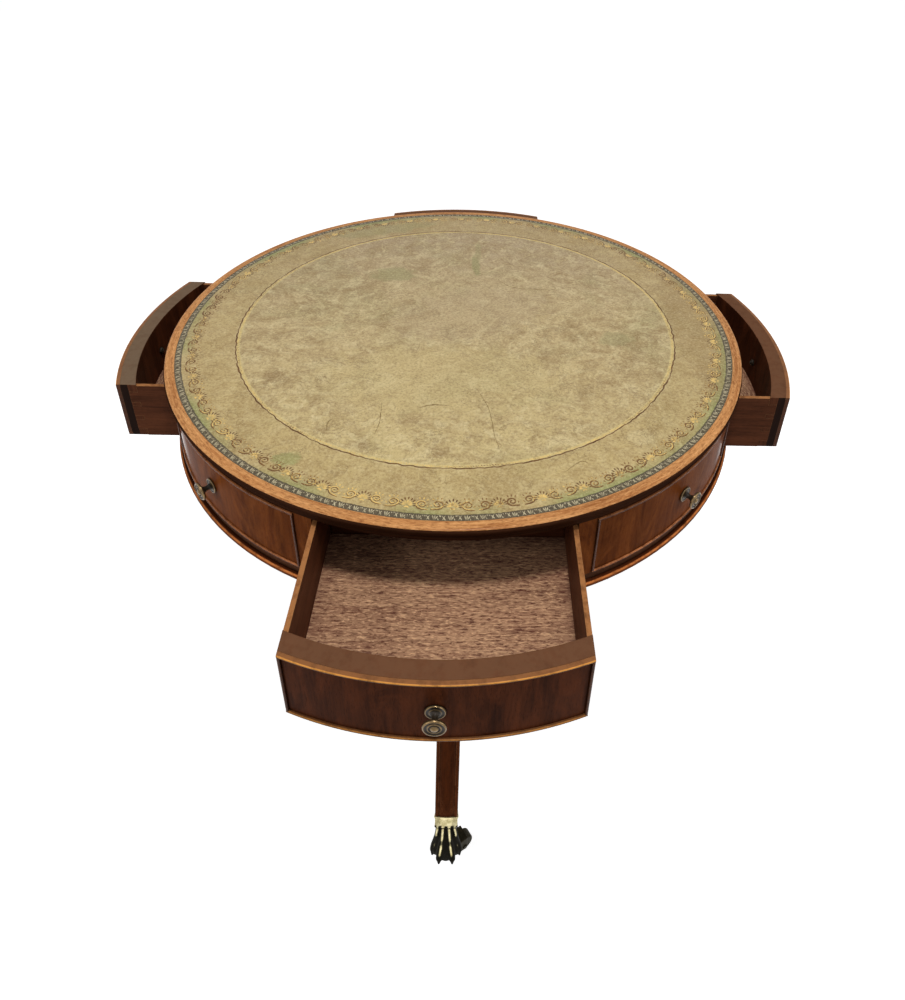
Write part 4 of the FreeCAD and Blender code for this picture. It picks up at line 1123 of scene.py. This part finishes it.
# each lamp: its place, where it aims, its size and its power
studio = {"floorReach": 30.0, "floorGap": 0.0002, "floorColour": 0.8, "floorGlow": 0.81, "fillLight": 0.24,
          "lamps": {"leftBox": ((-2.0, -1.6, 1.1), (0, 0, -0.1), (1.3, 1.1), 17.0),
                    "rightBox": ((2.2, -0.9, 0.9), (0, 0, -0.1), (1.0, 1.2), 12.0),
                    "topBox": ((0.1, 0.3, 2.4), (0, 0, 0), (2.0, 1.6), 6.0),
                    "keyBox": ((0.15, -0.74, 2.4), (0, -0.1, 0), (0.3, 0.3), 34.0)}}


def makeFloor():
    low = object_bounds()[0].z - studio["floorGap"]
    reach = studio["floorReach"]
    mesh = bpy.data.meshes.new("floor")
    mesh.from_pydata([(-reach, -reach, low), (reach, -reach, low), (reach, reach, low), (-reach, reach, low)],
                     [], [(0, 1, 2, 3)])
    floor = put("floor", mesh)
    made = bpy.data.materials.new("floorPaper")
    sheet = emptyTree(made)
    level = studio["floorColour"]
    paper = sheet.add("ShaderNodeBsdfDiffuse", {"Color": (level, level, level, 1)})
    glow = sheet.add("ShaderNodeEmission", {"Strength": sheet.times(shaderRays(sheet), studio["floorGlow"])})
    both = sheet.add("ShaderNodeAddShader", {0: paper.outputs[0], 1: glow.outputs[0]})
    sheet.add("ShaderNodeOutputMaterial", {"Surface": both.outputs[0]})
    mesh.materials.append(made)


def makeWorld():
    world = bpy.data.worlds.new("studio")
    scene.world = world
    sheet = emptyTree(world)
    fill, white = (sheet.add("ShaderNodeBackground", {"Color": (1, 1, 1, 1), "Strength": strength}).outputs[0]
                   for strength in (studio["fillLight"], 1.0))
    pick = sheet.add("ShaderNodeMixShader", {0: shaderRays(sheet), 1: fill, 2: white})
    sheet.add("ShaderNodeOutputWorld", {"Surface": pick.outputs[0]})


def makeLamps():
    for name, (place, aim, size, power) in studio["lamps"].items():
        lamp = bpy.data.lights.new(name, "AREA")
        lamp.shape = "RECTANGLE"
        lamp.size, lamp.size_y = size
        lamp.energy = power
        holder = put(name, lamp)
        holder.location = place
        holder.rotation_euler = (Vector(aim) - Vector(place)).to_track_quat("-Z", "Y").to_euler()


photoView = {"place": (0.03559, -1.07262, 0.66089), "yaw": -0.0195, "tilt": radians(90 - 30.69), "roll": 0.0319,
             "lens": 27.30, "shift": (-0.0401, -0.1902), "clip": (0.05, 100)}


def makeCamera():
    lens = bpy.data.cameras.new("photoCamera")
    lens.sensor_width = 36
    lens.lens = photoView["lens"]
    lens.shift_x, lens.shift_y = photoView["shift"]
    lens.clip_start, lens.clip_end = photoView["clip"]
    holder = put("photoCamera", lens)
    yaw, tilt, roll = (Matrix.Rotation(photoView[label], 4, axis)
                       for label, axis in (("yaw", "Z"), ("tilt", "X"), ("roll", "Z")))
    holder.matrix_world = Matrix.Translation(photoView["place"]) @ yaw @ tilt @ roll
    scene.camera = holder


makeFloor()
makeWorld()
makeLamps()
makeCamera()
scene.view_settings.view_transform = "Standard"
print("studio set")
